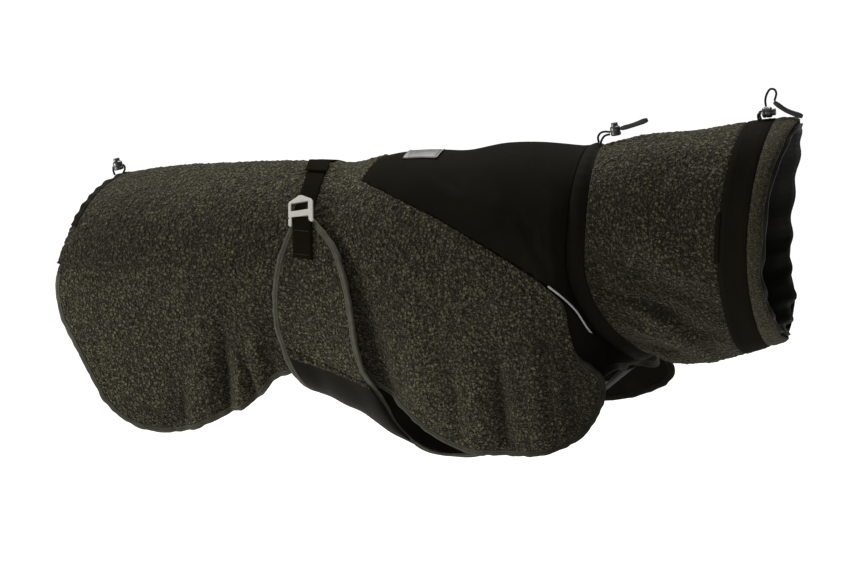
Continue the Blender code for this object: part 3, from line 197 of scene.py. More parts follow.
# Sections of its strip, whose edge is a point (x, y, z).
BELLY_STRIP = table(
    6,
    *(124, -283, 96, 83, -222, 80, 138, -287, 106, 73, -246, 72, 150, -290, 120, 61, -267, 62),
    *(164, -290.5, 144, 51, -281, 52, 190, -286, 184, 47, -281, 42, 230, -269, 228, 45, -263, 36),
    *(272, -243, 271, 44, -237, 34, 312, -211, 311, 43, -205, 34, 342, -184.5, 338, 42, -177.5, 34),
)
NECK_SIDES, YOKE_COLUMNS, YOKE_ROWS, YOKE_ON_BACK = 36, 17, 13, 13
NECK_GAP = 0.4 * MM
YOKE_END_TURN = FULL_TURN * YOKE_ROWS / NECK_SIDES

# Noise.

HASH_PRIMES, SALT_STEP = (374761393, 668265263, 961748927), 144665


def hashed(cells, salt):
    """A number from 0 to 1 for each whole-numbered cell."""
    mixed = sum(cells[..., k] * prime for k, prime in enumerate(HASH_PRIMES)) + salt * SALT_STEP
    mixed = mixed & 0xFFFFFFFF
    mixed = ((mixed ^ (mixed >> 13)) * 1274126177) & 0xFFFFFFFF
    mixed = mixed ^ (mixed >> 16)
    return (mixed & 0xFFFFFF) / 0xFFFFFF


def soft_noise(points, size, salt):
    """Smooth noise from 0 to 1 whose lumps are about size across."""
    places = np.asarray(points) / size
    cell = np.floor(places).astype(np.int64)
    part = places - cell
    part = part * part * (3 - 2 * part)
    total = 0.0
    for corner in range(8):
        step = np.array([corner & 1, corner >> 1 & 1, corner >> 2])
        share = np.prod(np.where(step, part, 1 - part), axis=-1)
        total = total + share * hashed(cell + step, salt)
    return total


def swing(points, size, salt):
    """Smooth noise from -0.5 to 0.5."""
    return soft_noise(points, size, salt) - 0.5


def cell_noise(points, size):
    """Distances to the nearest and the second nearest of scattered seeds, as shares of size."""
    places = points / size
    cell = np.floor(places).astype(np.int64)
    first = np.full(places.shape[:-1], 9.0)
    second = first.copy()
    for shift in np.ndindex(3, 3, 3):
        near = cell + np.array(shift) - 1
        seed = near + np.stack([hashed(near, salt) for salt in (1, 2, 3)], axis=-1)
        apart = np.linalg.norm(seed - places, axis=-1)
        second = np.minimum(second, np.maximum(first, apart))
        first = np.minimum(first, apart)
    return first, second


def curl_height(points, size):
    """0 to 1: how high the curls of the pile stand at each point."""
    warp = np.stack([swing(points, 1.6 * size, 40 + k) for k in range(3)], axis=-1)
    first, second = cell_noise(points + warp * 0.8 * size, size)
    clump = np.clip((second - first) / 0.45, 0, 1)
    fine = soft_noise(points, 0.5 * size, 7)
    return 0.62 * clump * (0.6 + 0.4 * soft_noise(points, 1.3 * size, 9)) + 0.38 * fine


# Small helpers.


def unit(vectors):
    return vectors / np.linalg.norm(vectors, axis=-1)[..., None]


def pairs(one, two):
    return np.stack(np.broadcast_arrays(one, two), axis=-1)


def run_of(line):
    """Distance along a line at each of its points."""
    return np.concatenate([[0], np.cumsum(np.linalg.norm(np.diff(line, axis=0), axis=1))])


def picked(at, run, line):
    """The places of a line at some distances along it."""
    return np.column_stack([np.interp(at, run, line[:, k]) for k in range(3)])


def bell(value):
    return np.exp(-(value**2))


def step_up(value):
    value = np.clip(value, 0, 1)
    return value * value * (3 - 2 * value)


def round_angles(count):
    return np.linspace(0, FULL_TURN, count, endpoint=False)


def circle(count, one, other):
    """Unit steps from a middle, in the plane of two directions."""
    return np.outer(np.cos(round_angles(count)), one) + np.outer(np.sin(round_angles(count)), other)


def refined(values, k):
    """The values with k - 1 even ones between each two."""
    return np.interp(np.linspace(0, len(values) - 1, (len(values) - 1) * k + 1), np.arange(len(values)), values)


def distance_to(points, line):
    """Distance from each point to the nearest point of a line."""
    tree = kdtree.KDTree(len(line))
    for number, place in enumerate(line):
        tree.insert(place, number)
    tree.balance()
    return np.array([tree.find(place)[2] for place in points.reshape(-1, 3)]).reshape(points.shape[:-1])


# The body shape.


def even_slopes(values, knots):
    step = np.diff(knots)[:, None]
    slope = np.diff(values, axis=0) / step
    middle = (slope[:-1] * step[1:] + slope[1:] * step[:-1]) / (step[:-1] + step[1:])
    return np.vstack([slope[:1], middle, slope[-1:]])


def smooth_at(values, slopes, knots, at):
    """Values between knots, on cubics with the given slopes."""
    index = np.clip(np.searchsorted(knots, at) - 1, 0, len(knots) - 2)
    span = knots[index + 1] - knots[index]
    t = ((at - knots[index]) / span)[..., None]
    span = span[..., None]
    return (
        values[index] * (1 + 2 * t) * (1 - t) ** 2
        + values[index + 1] * t * t * (3 - 2 * t)
        + slopes[index] * span * t * (1 - t) ** 2
        - slopes[index + 1] * span * t * t * (1 - t)
    )


def fold_height(point, folds):
    """How far the folds move the cloth out at each point."""
    left = point[..., 1] > 0
    share = np.where(left, LEFT_FOLD_SHARE, 1.0)
    shift = np.where(left, LEFT_FOLD_SHIFT * MM, 0.0)
    seen = np.stack([point[..., 0] - shift, point[..., 2]], axis=-1)
    height = np.zeros(point.shape[:-1])
    for x0, z0, x1, z1, width, depth in folds:
        start, line = np.array([x0, z0]) * MM, np.array([x1 - x0, z1 - z0]) * MM
        along = np.clip((seen - start) @ line / (line @ line), 0, 1)
        apart = np.linalg.norm(seen - start - along[..., None] * line, axis=-1)
        grown = np.minimum(1.0, FOLD_START + FOLD_GROWTH * along)
        height += share * depth * MM * bell(apart / (width * MM)) * grown
    return height


class Loft:
    """A smooth run of rings. A ring's row holds the ridge (x, z), the widest line (x, y, z) and the lowest (x, z).

    Each method takes numbers or arrays of them.
    """

    def __init__(self, stations, rows, last_shared=None):
        self.stations, self.rows = stations, rows
        self.slopes = even_slopes(rows, stations)
        if last_shared is not None:
            behind = slice(last_shared - 1, last_shared + 1)
            self.slopes[last_shared] = np.diff(rows[behind], axis=0)[0] / np.diff(stations[behind])[0]

    def ring(self, station):
        return np.moveaxis(smooth_at(self.rows, self.slopes, self.stations, np.asarray(station, float)), -1, 0)

    def at_turn(self, station, turn):
        station, turn = np.broadcast_arrays(station, turn)
        top_x, top_z, side_x, half_width, side_z, low_x, low_z = self.ring(station)
        c = np.cos(turn)
        end_x = np.where(c >= 0, top_x, low_x)
        reach = np.where(c >= 0, top_z - side_z, side_z - low_z)
        x = side_x + (end_x - side_x) * c * c
        return np.stack([x, -half_width * np.sin(turn), side_z + reach * c], axis=-1)

    def turn(self, station, girth):
        station, girth = np.broadcast_arrays(station, girth)
        sizes = self.ring(station)
        drop = np.clip((np.abs(girth) - QUARTER) / (sizes[4] - sizes[6]), 0, 0.999)
        below = np.copysign(math.pi / 2 + np.arcsin(drop), girth)
        return np.where(np.abs(girth) <= QUARTER, math.pi / 2 * girth / QUARTER, below)

    def base(self, station, girth):
        return self.at_turn(station, self.turn(station, girth))

    def outward(self, station, turn):
        small = 1e-4
        along = self.at_turn(station + small, turn) - self.at_turn(station - small, turn)
        around = self.at_turn(station, turn + small) - self.at_turn(station, turn - small)
        normal = unit(np.cross(along, around))
        sizes = self.ring(station)
        middle = np.stack(np.broadcast_arrays(sizes[2], 0.0, sizes[4]), axis=-1)
        facing = np.sum(normal * (self.at_turn(station, turn) - middle), axis=-1)
        return normal * np.where(facing > 0, 1.0, -1.0)[..., None]

    def turned(self, station, turn, out, creases=0.0):
        """A point at a distance outside the body shape, its folds and a share of its creases."""
        station, turn = np.asarray(station, float), np.asarray(turn, float)
        point = self.at_turn(station, turn)
        height = out + fold_height(point, FOLDS)
        if creases:
            height = height + creases * fold_height(point, CREASES)
        return point + self.outward(station, turn) * height[..., None]

    def skin(self, places, out=0.0, creases=0.0):
        """The same at places, each a station and a girth."""
        station, girth = places[..., 0], places[..., 1]
        return self.turned(station, self.turn(station, girth), out, creases)

    def locate(self, seen, side=1):
        """The station and girth of points seen from the side."""
        x, z = np.moveaxis(np.asarray(seen, float), -1, 0)
        station = x.copy()
        for _ in range(60):
            sizes = self.ring(station)
            top_z, side_z = sizes[1], sizes[4]
            above = QUARTER * np.arccos(np.clip((z - side_z) / (top_z - side_z), 0, 1)) / (math.pi / 2)
            girth = np.where(z > side_z, above, QUARTER + side_z - z)
            station = station + 0.4 * (x - self.base(station, girth)[..., 0])
        return np.stack([station, side * girth], axis=-1)


UPRIGHT = [0, 1, 0, 2, 3, 0, 4]
LAST_SHARED = len(TRUNK) - 1
TRUNK_ROWS, FLAP_ROWS = TRUNK * MM, np.vstack([TRUNK, FLAP_FRONT]) * MM
BODY = Loft(FLAP_ROWS[:, 0], FLAP_ROWS[:, UPRIGHT], LAST_SHARED)
SHOULDER_ROWS = np.vstack([TRUNK_ROWS[:, UPRIGHT], COLLAR[:1, 1:] * MM])
SHOULDERS = Loft(np.append(TRUNK_ROWS[:, 0], YOKE_END), SHOULDER_ROWS, LAST_SHARED)
NECK = Loft(COLLAR[:, 0] * MM, COLLAR[:, 1:] * MM)

# Lines and grids.


def sampled(points, count):
    """Points at an even pace along a smooth curve through others."""
    points = np.array(points, float)
    knots = run_of(points)
    return smooth_at(points, even_slopes(points, knots), knots, np.linspace(0, knots[-1], count + 1))


def moved_left(line, distance):
    tangent = unit(np.gradient(line, axis=0))
    return line + distance * np.column_stack([-tangent[:, 1], tangent[:, 0]])


def filled(top, low, start, end):
    """A grid between four lines: top and low run along it, start and end down it."""
    s = np.linspace(0, 1, len(top))[:, None, None]
    t = np.linspace(0, 1, len(start))[None, :, None]
    sides = (1 - t) * top[:, None] + t * low[:, None] + (1 - s) * start[None] + s * end[None]
    corners = (1 - s) * (1 - t) * top[0] + s * (1 - t) * top[-1] + (1 - s) * t * low[0] + s * t * low[-1]
    return sides - corners


def outward_of(grid, middle):
    normal = unit(np.cross(np.gradient(grid, axis=0), np.gradient(grid, axis=1)))
    return normal * np.sign(np.sum(normal * (grid - middle)))


def resampled(step, *lines):
    """The first line at an even step, and others beside it."""
    run = run_of(lines[0])
    at = np.linspace(0, run[-1], max(4, int(run[-1] / step)) + 1)
    return [picked(at, run, line) for line in lines]


def framed(grid, r, c):
    """The points once round a grid, r rows and c columns in from its border."""
    return np.concatenate([grid[r:-r, c], grid[-r - 1, c:-c], grid[r:-r, -c - 1][::-1], grid[r, c:-c][::-1]])


# Meshes.


def link(name, mesh, *surfaces):
    for surface in surfaces:
        mesh.materials.append(surface)
    made = bpy.data.objects.new(name, mesh)
    bpy.context.scene.collection.objects.link(made)
    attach(made, "root")
    return made


def dress(made, slot, node=None, **sheet):
    """Hides the frame's node that a piece replaces. The slot and the sheet's cut are not used."""
    if node:
        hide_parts(node)


def orient(points, faces):
    """The faces, turned round where they would face in."""
    total = 0.0
    for face in faces:
        for one, two in zip(face[1:], face[2:]):
            a, b, c = points[face[0]], points[one], points[two]
            total += (
                a[0] * (b[1] * c[2] - b[2] * c[1])
                + a[1] * (b[2] * c[0] - b[0] * c[2])
                + a[2] * (b[0] * c[1] - b[1] * c[0])
            )
    return faces if total > 0 else [tuple(reversed(face)) for face in faces]


def add_mesh(name, points, faces, surfaces, slots=None, uvs=None, curl=None):
    """A mesh piece. uvs and curl hold a value for each point, and slots the material of each face."""
    place = np.asarray(points, float).tolist()
    mesh = bpy.data.meshes.new(name)
    mesh.from_pydata(place, [], orient(place, faces))
    mesh.shade_smooth()
    if slots is not None:
        mesh.polygons.foreach_set("material_index", np.asarray(slots, np.int32))
    if uvs is not None:
        corner = np.empty(len(mesh.loops), np.int32)
        mesh.loops.foreach_get("vertex_index", corner)
        layer = mesh.uv_layers.new(name="metres")
        layer.data.foreach_set("uv", np.asarray(uvs, np.float32)[corner].reshape(-1))
    if curl is not None:
        layer = mesh.attributes.new("curl", "FLOAT", "POINT")
        layer.data.foreach_set("value", np.asarray(curl, np.float32))
    return link(name, mesh, *surfaces)


def add_shell(name, inner, outer, surfaces, ring=False, coarse=1, absent=None, curl=None, uvs=None):
    """A closed wall: its outer face at the grids' full step, and its inner face at a coarser one.

    A ring's last column joins its first. absent says which coarse cells stay open.
    """
    columns, rows = inner.shape[0] - (0 if ring else 1), inner.shape[1] - 1
    wide, tall = columns // coarse, rows // coarse
    present = np.ones((wide, tall), bool)
    if absent:
        present = np.array([[not absent(i, j) for j in range(tall)] for i in range(wide)])
    count = inner.shape[0] * inner.shape[1]
    index = np.arange(count).reshape(inner.shape[:2])
    if ring:
        index = np.vstack([index, index[:1]])
    fine = np.repeat(np.repeat(present, coarse, axis=0), coarse, axis=1)
    corners = index[:-1, :-1], index[1:, :-1], index[1:, 1:], index[:-1, 1:]
    faces = np.column_stack([corner[fine] for corner in corners]).tolist()
    slots = [0] * len(faces)
    padded = np.zeros((wide + 2, tall + 2), bool)
    padded[1:-1, 1:-1] = present
    if ring:
        padded[0, 1:-1], padded[-1, 1:-1] = present[-1], present[0]
    for i, j in zip(*np.nonzero(present)):
        x, y = i * coarse, j * coarse
        steps = range(coarse + 1)
        sides = (
            (padded[i + 1, j], [index[x + k, y] for k in steps]),
            (padded[i + 2, j + 1], [index[x + coarse, y + k] for k in steps]),
            (padded[i + 1, j + 2], [index[x + coarse - k, y + coarse] for k in steps]),
            (padded[i, j + 1], [index[x, y + coarse - k] for k in steps]),
        )
        loop = []
        for joined, line in sides:
            if joined:
                loop.append(line[0] + count)
                continue
            loop += [corner + count for corner in line[:-1]]
            faces += [(two, one, one + count, two + count) for one, two in zip(line, line[1:])]
            slots += [0] * coarse
        faces.append(tuple(reversed(loop)))
        slots.append(len(surfaces) - 1)
    used = np.zeros(2 * count, bool)
    for face in faces:
        used[list(face)] = True
    place = np.cumsum(used) - 1
    points = np.concatenate([outer.reshape(-1, 3), inner.reshape(-1, 3)])[used]
    both = None if curl is None else np.concatenate([curl.reshape(-1), np.zeros(count)])[used]
    pair = None if uvs is None else np.concatenate([uvs.reshape(-1, 2)] * 2)[used]
    faces = [tuple(place[list(face)].tolist()) for face in faces]
    return add_mesh(name, points, faces, surfaces, slots, pair, both)


def add_sweep(name, sections, surface):
    """A solid through sections, each a loop of as many points, with its run and its way round as UVs in metres."""
    sections = np.asarray(sections)
    count, sides = sections.shape[:2]
    faces = []
    for here in range(0, (count - 1) * sides, sides):
        there = here + sides
        for side in range(sides):
            after = (side + 1) % sides
            faces.append((here + side, here + after, there + after, there + side))
    faces += [tuple(reversed(range(sides))), tuple(range((count - 1) * sides, count * sides))]
    round_it = np.linalg.norm(np.diff(sections, axis=1), axis=2).mean(axis=0)
    around = np.concatenate([[0], np.cumsum(round_it)])
    uvs = pairs(run_of(sections.mean(axis=1))[:, None], around[None, :]).reshape(-1, 2)
    return add_mesh(name, sections.reshape(-1, 3), faces, [surface], None, uvs)


STITCH_POINTS = table(
    3,
    *(-1, 0, 0, -0.5, 1, 0, -0.5, 0, 1, -0.5, -1, 0, -0.5, 0, -1),
    *(0.5, 1, 0, 0.5, 0, 1, 0.5, -1, 0, 0.5, 0, -1, 1, 0, 0),
)
STITCH_FACES = ((0, 2, 1), (0, 3, 2), (0, 4, 3), (0, 1, 4), (9, 5, 6), (9, 6, 7), (9, 7, 8), (9, 8, 5))
STITCH_FACES += ((1, 2, 6, 5), (2, 3, 7, 6), (3, 4, 8, 7), (4, 1, 5, 8))
STITCH_RADIUS, STITCH_PROUD = 0.28 * MM, 0.1 * MM


def add_stitches(name, slot, line, ups, surface, pitch=3.2 * MM, length=2.3 * MM):
    """Small lozenges of thread at an even pitch just above a line, whose outward directions are ups."""
    ups = unit(ups)
    line = line + ups * STITCH_PROUD
    run = run_of(line)
    at = np.arange(pitch / 2, run[-1], pitch)
    ups = unit(picked(at, run, ups))
    alongs = picked(at + pitch / 2, run, line) - picked(at - pitch / 2, run, line)
    alongs = unit(alongs - ups * np.sum(alongs * ups, axis=1)[:, None])
    points, faces = [], []
    for place, along, up in zip(picked(at, run, line), alongs, ups):
        way = np.array([along * length / 2, np.cross(up, along) * STITCH_RADIUS, up * STITCH_RADIUS])
        faces += [tuple(len(points) + corner for corner in face) for face in STITCH_FACES]
        points += list(place + STITCH_POINTS @ way)
    dress(add_mesh(name, points, faces, [surface]), slot)


# A tape's section: how far it reaches in from its fold, and its height above the cloth's middle.
TAPE_REACH = np.array([0, 0.12, 0.45, 0.82, 0.97, 1, 0.985, 0.9, 0.68, 0.42, 0.33, 0.24, 0])
TAPE_HEIGHT = np.array([-0.8, -0.95, -1, -0.9, -0.5, 0, 0.55, 0.9, 1.02, 1.0, 0.74, 1.0, 0.8])
# How far a tape reaches in over the edge that it binds.
TUCK = 1.2 * MM


def edge_sections(inner, outer, inside, width, extra, pucker=0.0, salt=0):
    """Sections of a tape folded over an edge. inside holds a point of the panel behind each."""
    middle, normal = (inner + outer) / 2, outer - inner
    half = np.linalg.norm(normal, axis=1) / 2 + extra
    normal = unit(normal)
    away = unit(np.cross(np.gradient(middle, axis=0), normal))
    away *= np.sign(np.sum(away * (middle - inside), axis=1))[:, None]
    swell = (1 + pucker * swing(middle, 6 * MM, salt))[:, None]
    width = np.broadcast_to(width, len(middle))[:, None]
    out = -TUCK + width * TAPE_REACH * (0.5 + 0.5 * swell)
    up = half[:, None] * TAPE_HEIGHT * swell
    return middle[:, None] + away[:, None] * out[..., None] + normal[:, None] * up[..., None]


# Materials.

SHEEN_TINT, SHEEN_ROUGHNESS, CURL_SMOOTHNESS = (1.0, 0.93, 0.72, 1), 0.5, 0.25


def faded(color, share):
    return tuple(value * share for value in color)


class Shade:
    """A Principled material built node by node. Sizes are in metres of the object's own space, or of its UVs."""

    def __init__(self, name, color, roughness, specular=0.5, sheen=0.0, metallic=0.0, coat=0.0):
        self.made = bpy.data.materials.new(name)
        self.made.use_nodes = True
        self.tree = self.made.node_tree
        self.skin = self.tree.nodes["Principled BSDF"].inputs
        sheens = {"Sheen Weight": sheen, "Sheen Roughness": SHEEN_ROUGHNESS, "Sheen Tint": SHEEN_TINT}
        rest = {"Metallic": metallic, "Coat Weight": coat, "Specular IOR Level": specular}
        for key, value in {"Base Color": (*color, 1), "Roughness": roughness, **sheens, **rest}.items():
            self.skin[key].default_value = value
        place = self.tree.nodes.new("ShaderNodeTexCoord")
        self.object, self.uv = place.outputs["Object"], place.outputs["UV"]

    def feed(self, socket, value):
        if isinstance(value, bpy.types.NodeSocket):
            self.tree.links.new(value, socket)
        else:
            socket.default_value = value

    def node(self, kind, inputs, output=0, **settings):
        """One output of a new node, with its inputs fed by name or number."""
        made = self.tree.nodes.new(f"ShaderNode{kind}")
        for key, value in settings.items():
            setattr(made, key, value)
        for key, value in inputs.items():
            self.feed(made.inputs[key], value)
        return made.outputs[output]

    def noise(self, size, detail=3.0, rough=0.55, coords=None, distortion=0.0):
        sizes = {"Scale": 1 / size, "Detail": detail, "Roughness": rough, "Distortion": distortion}
        return self.node("TexNoise", {"Vector": coords or self.object, **sizes}, "Fac")

    def cells(self, size, feature="F1", coords=None):
        inputs = {"Vector": coords or self.object, "Scale": 1 / size}
        if feature == "SMOOTH_F1":
            inputs["Smoothness"] = CURL_SMOOTHNESS
        return self.node("TexVoronoi", inputs, "Distance", feature=feature)

    def waves(self, size, direction, distortion=0.0):
        inputs = {"Vector": self.uv, "Scale": math.pi / 10 / size, "Distortion": distortion}
        return self.node("TexWave", inputs, "Fac", bands_direction=direction)

    def times(self, a, b):
        return self.node("Math", {0: a, 1: b}, operation="MULTIPLY")

    def total(self, *parts, clamp=True):
        result = parts[0]
        for left, part in zip(range(len(parts) - 2, -1, -1), parts[1:]):
            result = self.node("Math", {0: result, 1: part}, operation="ADD", use_clamp=clamp and not left)
        return result

    def spread(self, value, low=0.3, high=0.7, to_low=0.0, to_high=1.0):
        sizes = {"From Min": low, "From Max": high, "To Min": to_low, "To Max": to_high}
        return self.node("MapRange", {"Value": value, **sizes}, "Result")

    def mix(self, share, a, b):
        made = self.tree.nodes.new("ShaderNodeMix")
        made.data_type = "RGBA"
        self.feed(made.inputs[0], share)
        for socket, value in zip([s for s in made.inputs if s.type == "RGBA"], (a, b)):
            self.feed(socket, value if isinstance(value, bpy.types.NodeSocket) else (*value, 1))
        return [s for s in made.outputs if s.type == "RGBA"][0]

    def tones(self, share, color, low, high):
        return self.mix(share, faded(color, low), faded(color, high))

    def warped(self, size, amount):
        """Object coordinates pushed about by noise."""
        push = self.node("TexNoise", {"Vector": self.object, "Scale": 1 / size, "Detail": 2}, "Color")
        return self.node("VectorMath", {0: push, 1: (amount,) * 3, 2: self.object}, operation="MULTIPLY_ADD")

    def color(self, value):
        self.feed(self.skin["Base Color"], value)

    def rough(self, value):
        self.feed(self.skin["Roughness"], value)

    def bump(self, height, distance, strength):
        """A bump on top of those before it."""
        normal = self.skin["Normal"]
        before = {"Normal": normal.links[0].from_socket} if normal.is_linked else {}
        inputs = {"Distance": distance, "Strength": strength, "Height": height, **before}
        bumped = self.node("Bump", inputs, "Normal")
        self.tree.links.new(bumped, normal)


def make_pile(name, shaded_colour, tips, grain=1.0):
    """Curly fleece: painted shade darkens it between its curls and along the cracks between them, paler on their
    tips, each clump a little different.
    """
    shade = Shade(name, tips, 0.95, 0.05, 0.12)
    warped = shade.warped(3.4 * MM, 3.2 * MM)
    curls = shade.cells(3.3 * MM * grain, "SMOOTH_F1", warped)
    cracks = shade.cells(3.8 * MM * grain, "DISTANCE_TO_EDGE", warped)
    pits = shade.noise(2.2 * MM * grain, 2, 0.5, warped, 0.8)
    fibres = shade.noise(1.15 * MM, 3, 0.8, warped, 1.4)
    tall = shade.node("Attribute", {}, "Fac", attribute_name="curl")
    # Low curl values and the cracks paint the shade that falls between the curls.
    level = shade.total(
        shade.spread(tall, -0.6, 0.75, -0.42, 0.32),
        shade.spread(curls, 0.75, 0.2, -0.26, 0.32),
        shade.spread(cracks, 0.02, 0.2, -0.62, 0.2),
        shade.spread(pits, 0.36, 0.64, -0.34, 0.42),
        shade.spread(fibres, 0.34, 0.66, -0.42, 0.46),
        shade.spread(shade.noise(26 * MM), to_low=-0.06, to_high=0.06),
    )
    parts = shade.times(curls, -0.9), shade.times(pits, 1.2), shade.times(fibres, 0.5)
    height = shade.total(*parts, shade.spread(cracks, 0.0, 0.2, 0.0, 0.5), clamp=False)
    shade.color(shade.mix(level, shaded_colour, tips))
    shade.bump(height, 2.1 * MM * grain, 1.0)
    return shade.made


def make_weave(name, color, pitch, roughness, sheen, specular=0.06, contrast=0.25, depth=0.12 * MM):
    """A fine plain weave on the piece's UVs, with a slow change of tone."""
    shade = Shade(name, color, roughness, specular, sheen)
    over = shade.times(shade.waves(pitch, "X", 0.6), shade.waves(pitch, "Y", 0.6))
    slubs = shade.noise(5 * MM, 4, 0.6)
    tone = shade.spread(shade.noise(45 * MM), to_high=0.35)
    level = shade.total(shade.times(over, contrast), shade.spread(slubs, to_low=0.15, to_high=0.45), tone)
    shade.color(shade.tones(level, color, 0.62, 1.38))
    shade.rough(shade.spread(slubs, to_low=roughness - 0.08, to_high=min(1.0, roughness + 0.1)))
    shade.bump(over, depth, 0.7)
    shade.bump(slubs, 0.25 * MM, 0.35)
    return shade.made


def make_webbing(name, color):
    """Herringbone-like ribs across a woven strap, with a rolled selvedge."""
    shade = Shade(name, color, 0.85, 0.01)
    ribs, rows = shade.waves(0.9 * MM, "DIAGONAL", 0.3), shade.waves(1.5 * MM, "Y", 0.2)
    weave = shade.total(shade.times(ribs, 0.5), shade.times(rows, 0.5), clamp=False)
    lumps = shade.spread(shade.noise(3 * MM), to_high=0.3)
    level = shade.total(shade.spread(weave, 0.2, 0.8, 0.1, 0.7), lumps)
    shade.color(shade.tones(level, color, 0.6, 1.5))
    shade.bump(weave, 0.25 * MM, 0.8)
    return shade.made


def make_tape(name, color, roughness, specular, lit_until=None, shaded_from=None):
    """A smooth bias tape, lightly ribbed, its tone a little uneven.

    Along X it may take painted shade: its own tone until one place, as where it is lit, darker past it, and darker
    still from another.
    """
    shade = Shade(name, color, roughness, specular, 0.06)
    ribs, lumps = shade.waves(0.7 * MM, "X", 0.4), shade.noise(7 * MM)
    level = shade.total(shade.times(ribs, 0.2), shade.spread(lumps, to_low=0.1, to_high=0.8))
    tone = shade.tones(level, color, 0.7, 1.25)
    if lit_until is not None:
        # Painted shade along X: a first step of shade past one place, a deeper one from another.
        x = shade.node("SeparateXYZ", {0: shade.object}, "X")
        half_shaded, deep_shaded = shade.tones(level, color, 0.5, 0.85), shade.tones(level, color, 0.12, 0.3)
        tone = shade.mix(shade.spread(x, lit_until - 0.006, lit_until + 0.012), tone, half_shaded)
        tone = shade.mix(shade.spread(x, shaded_from - 0.03, shaded_from + 0.03), tone, deep_shaded)
    shade.color(tone)
    shade.bump(ribs, 0.1 * MM, 0.6)
    shade.bump(lumps, 0.5 * MM, 0.3)
    return shade.made


def make_metal(name, color, roughness, metallic):
    """Cast metal under satin lacquer, with fine pits and rubbed places."""
    shade = Shade(name, color, roughness, metallic=metallic, coat=0.25)
    wear = shade.noise(6 * MM, 5, 0.65)
    shade.color(shade.tones(shade.spread(wear, 0.35, 0.65), color, 0.86, 1.04))
    shade.rough(shade.spread(wear, 0.35, 0.65, roughness + 0.12, roughness - 0.06))
    shade.bump(shade.noise(0.5 * MM), 0.05 * MM, 0.4)
    return shade.made


def make_plastic(name, color, roughness, specular=0.25):
    shade = Shade(name, color, roughness, specular)
    scuffs = shade.noise(3 * MM, 5, 0.7)
    shade.color(shade.tones(shade.spread(scuffs, 0.4), color, 1.0, 1.5))
    shade.rough(shade.spread(scuffs, to_low=roughness - 0.05, to_high=roughness + 0.15))
    shade.bump(shade.noise(0.4 * MM, 2), 0.04 * MM, 0.5)
    return shade.made


def make_reflective(name, color, metallic=0.25):
    """Retro-reflective cloth: a pale film over a fine grid of beads."""
    shade = Shade(name, color, 0.42, metallic=metallic)
    dulled = shade.noise(9 * MM, 4)
    shade.color(shade.tones(shade.spread(dulled, 0.35, 0.65), color, 0.8, 1.1))
    shade.rough(shade.spread(dulled, 0.35, 0.65, 0.36, 0.52))
    shade.bump(shade.cells(0.35 * MM), 0.06 * MM, 0.6)
    return shade.made


def make_cord(name, color):
    """A round braid: two sets of strands that cross."""
    shade = Shade(name, color, 0.65, 0.1, 0.04)
    braid = shade.times(shade.waves(1.1 * MM, "DIAGONAL"), shade.waves(1.4 * MM, "Y"))
    shade.color(shade.tones(braid, color, 0.7, 1.6))
    shade.bump(braid, 0.2 * MM, 0.8)
    return shade.made


BLACK = (0.0059, 0.0051, 0.0032)
TAPE = (0.062, 0.060, 0.043)
# Each pile's first colour is the painted shade between its curls, the second its tips.
PILE_CLOTH = make_pile("pile", (0.0042, 0.0035, 0.0012), (0.120, 0.113, 0.063))
SMOOTH_PILE = make_pile("pile_short", (0.011, 0.0100, 0.0046), (0.072, 0.068, 0.040), 0.6)
BACKING = make_weave("backing", (0.0075, 0.0072, 0.0048), 0.9 * MM, 0.92, 0.04)
WOVEN_CLOTH = make_weave("woven", BLACK, 0.6 * MM, 0.76, 0.0, 0.015)
CASING_CLOTH = make_weave("casing", faded(BLACK, 1.25), 0.6 * MM, 0.7, 0.0, 0.02)
BELLY_CLOTH = make_weave("belly", faded(BLACK, 1.05), 0.7 * MM, 0.74, 0.03)
# The belly's olive lining, painted paler than its own colour: painted light where it lies in shade.
BELLY_LINING_LIT = make_weave("belly_lining_lit", (0.054, 0.052, 0.036), 0.9 * MM, 0.9, 0.04)
FACING_CLOTH = make_weave("facing", (0.0045, 0.0042, 0.0030), 0.8 * MM, 0.6, 0.05, 0.2)
BINDING_CLOTH = make_tape("binding", faded(TAPE, 0.82), 0.7, 0.08)
# The hem's tape keeps its own tone at the rear edge, where it is lit, takes painted shade past it, and more painted
# shade at the front.
HEM_TAPE = make_tape("binding_hem", TAPE, 0.9, 0.03, -0.252, 0.262)
# The chest's tape is the hem's tape painted a tenth as bright: painted shade under the neck.
SHADED_CHEST_TAPE = make_tape("binding_chest_shaded", faded(TAPE, 0.1), 0.95, 0.02)
ELASTIC_CLOTH = make_weave("elastic", (0.0060, 0.0054, 0.004), 1.0 * MM, 0.8, 0.03, 0.06, 0.5, 0.3 * MM)
WEBBING_CLOTH = make_webbing("webbing", (0.0056, 0.0048, 0.0030))
THREAD = make_plastic("thread", (0.030, 0.028, 0.020), 0.7)
DARK_THREAD = make_plastic("thread_dark", (0.0075, 0.0066, 0.0046), 0.85, 0.04)
BUCKLE_METAL = make_metal("aluminium", (0.60, 0.585, 0.53), 0.34, 0.3)
REFLECTIVE_FILM = make_reflective("reflective", (0.088, 0.084, 0.077))
PIPING_FILM = make_reflective("piping_film", (0.27, 0.27, 0.25), 0.0)
LOCK_PLASTIC = make_plastic("lock_plastic", (0.014, 0.0138, 0.0130), 0.3, 0.6)
CORD_YARN = make_cord("cord", (0.0095, 0.0088, 0.0072))
END_PLASTIC = make_plastic("cord_end", (0.011, 0.0104, 0.0092), 0.45)

# Drawcords, built first.

CORD, CORD_SIDES, CORD_PACE = 2.2 * MM, 14, 0.8 * MM
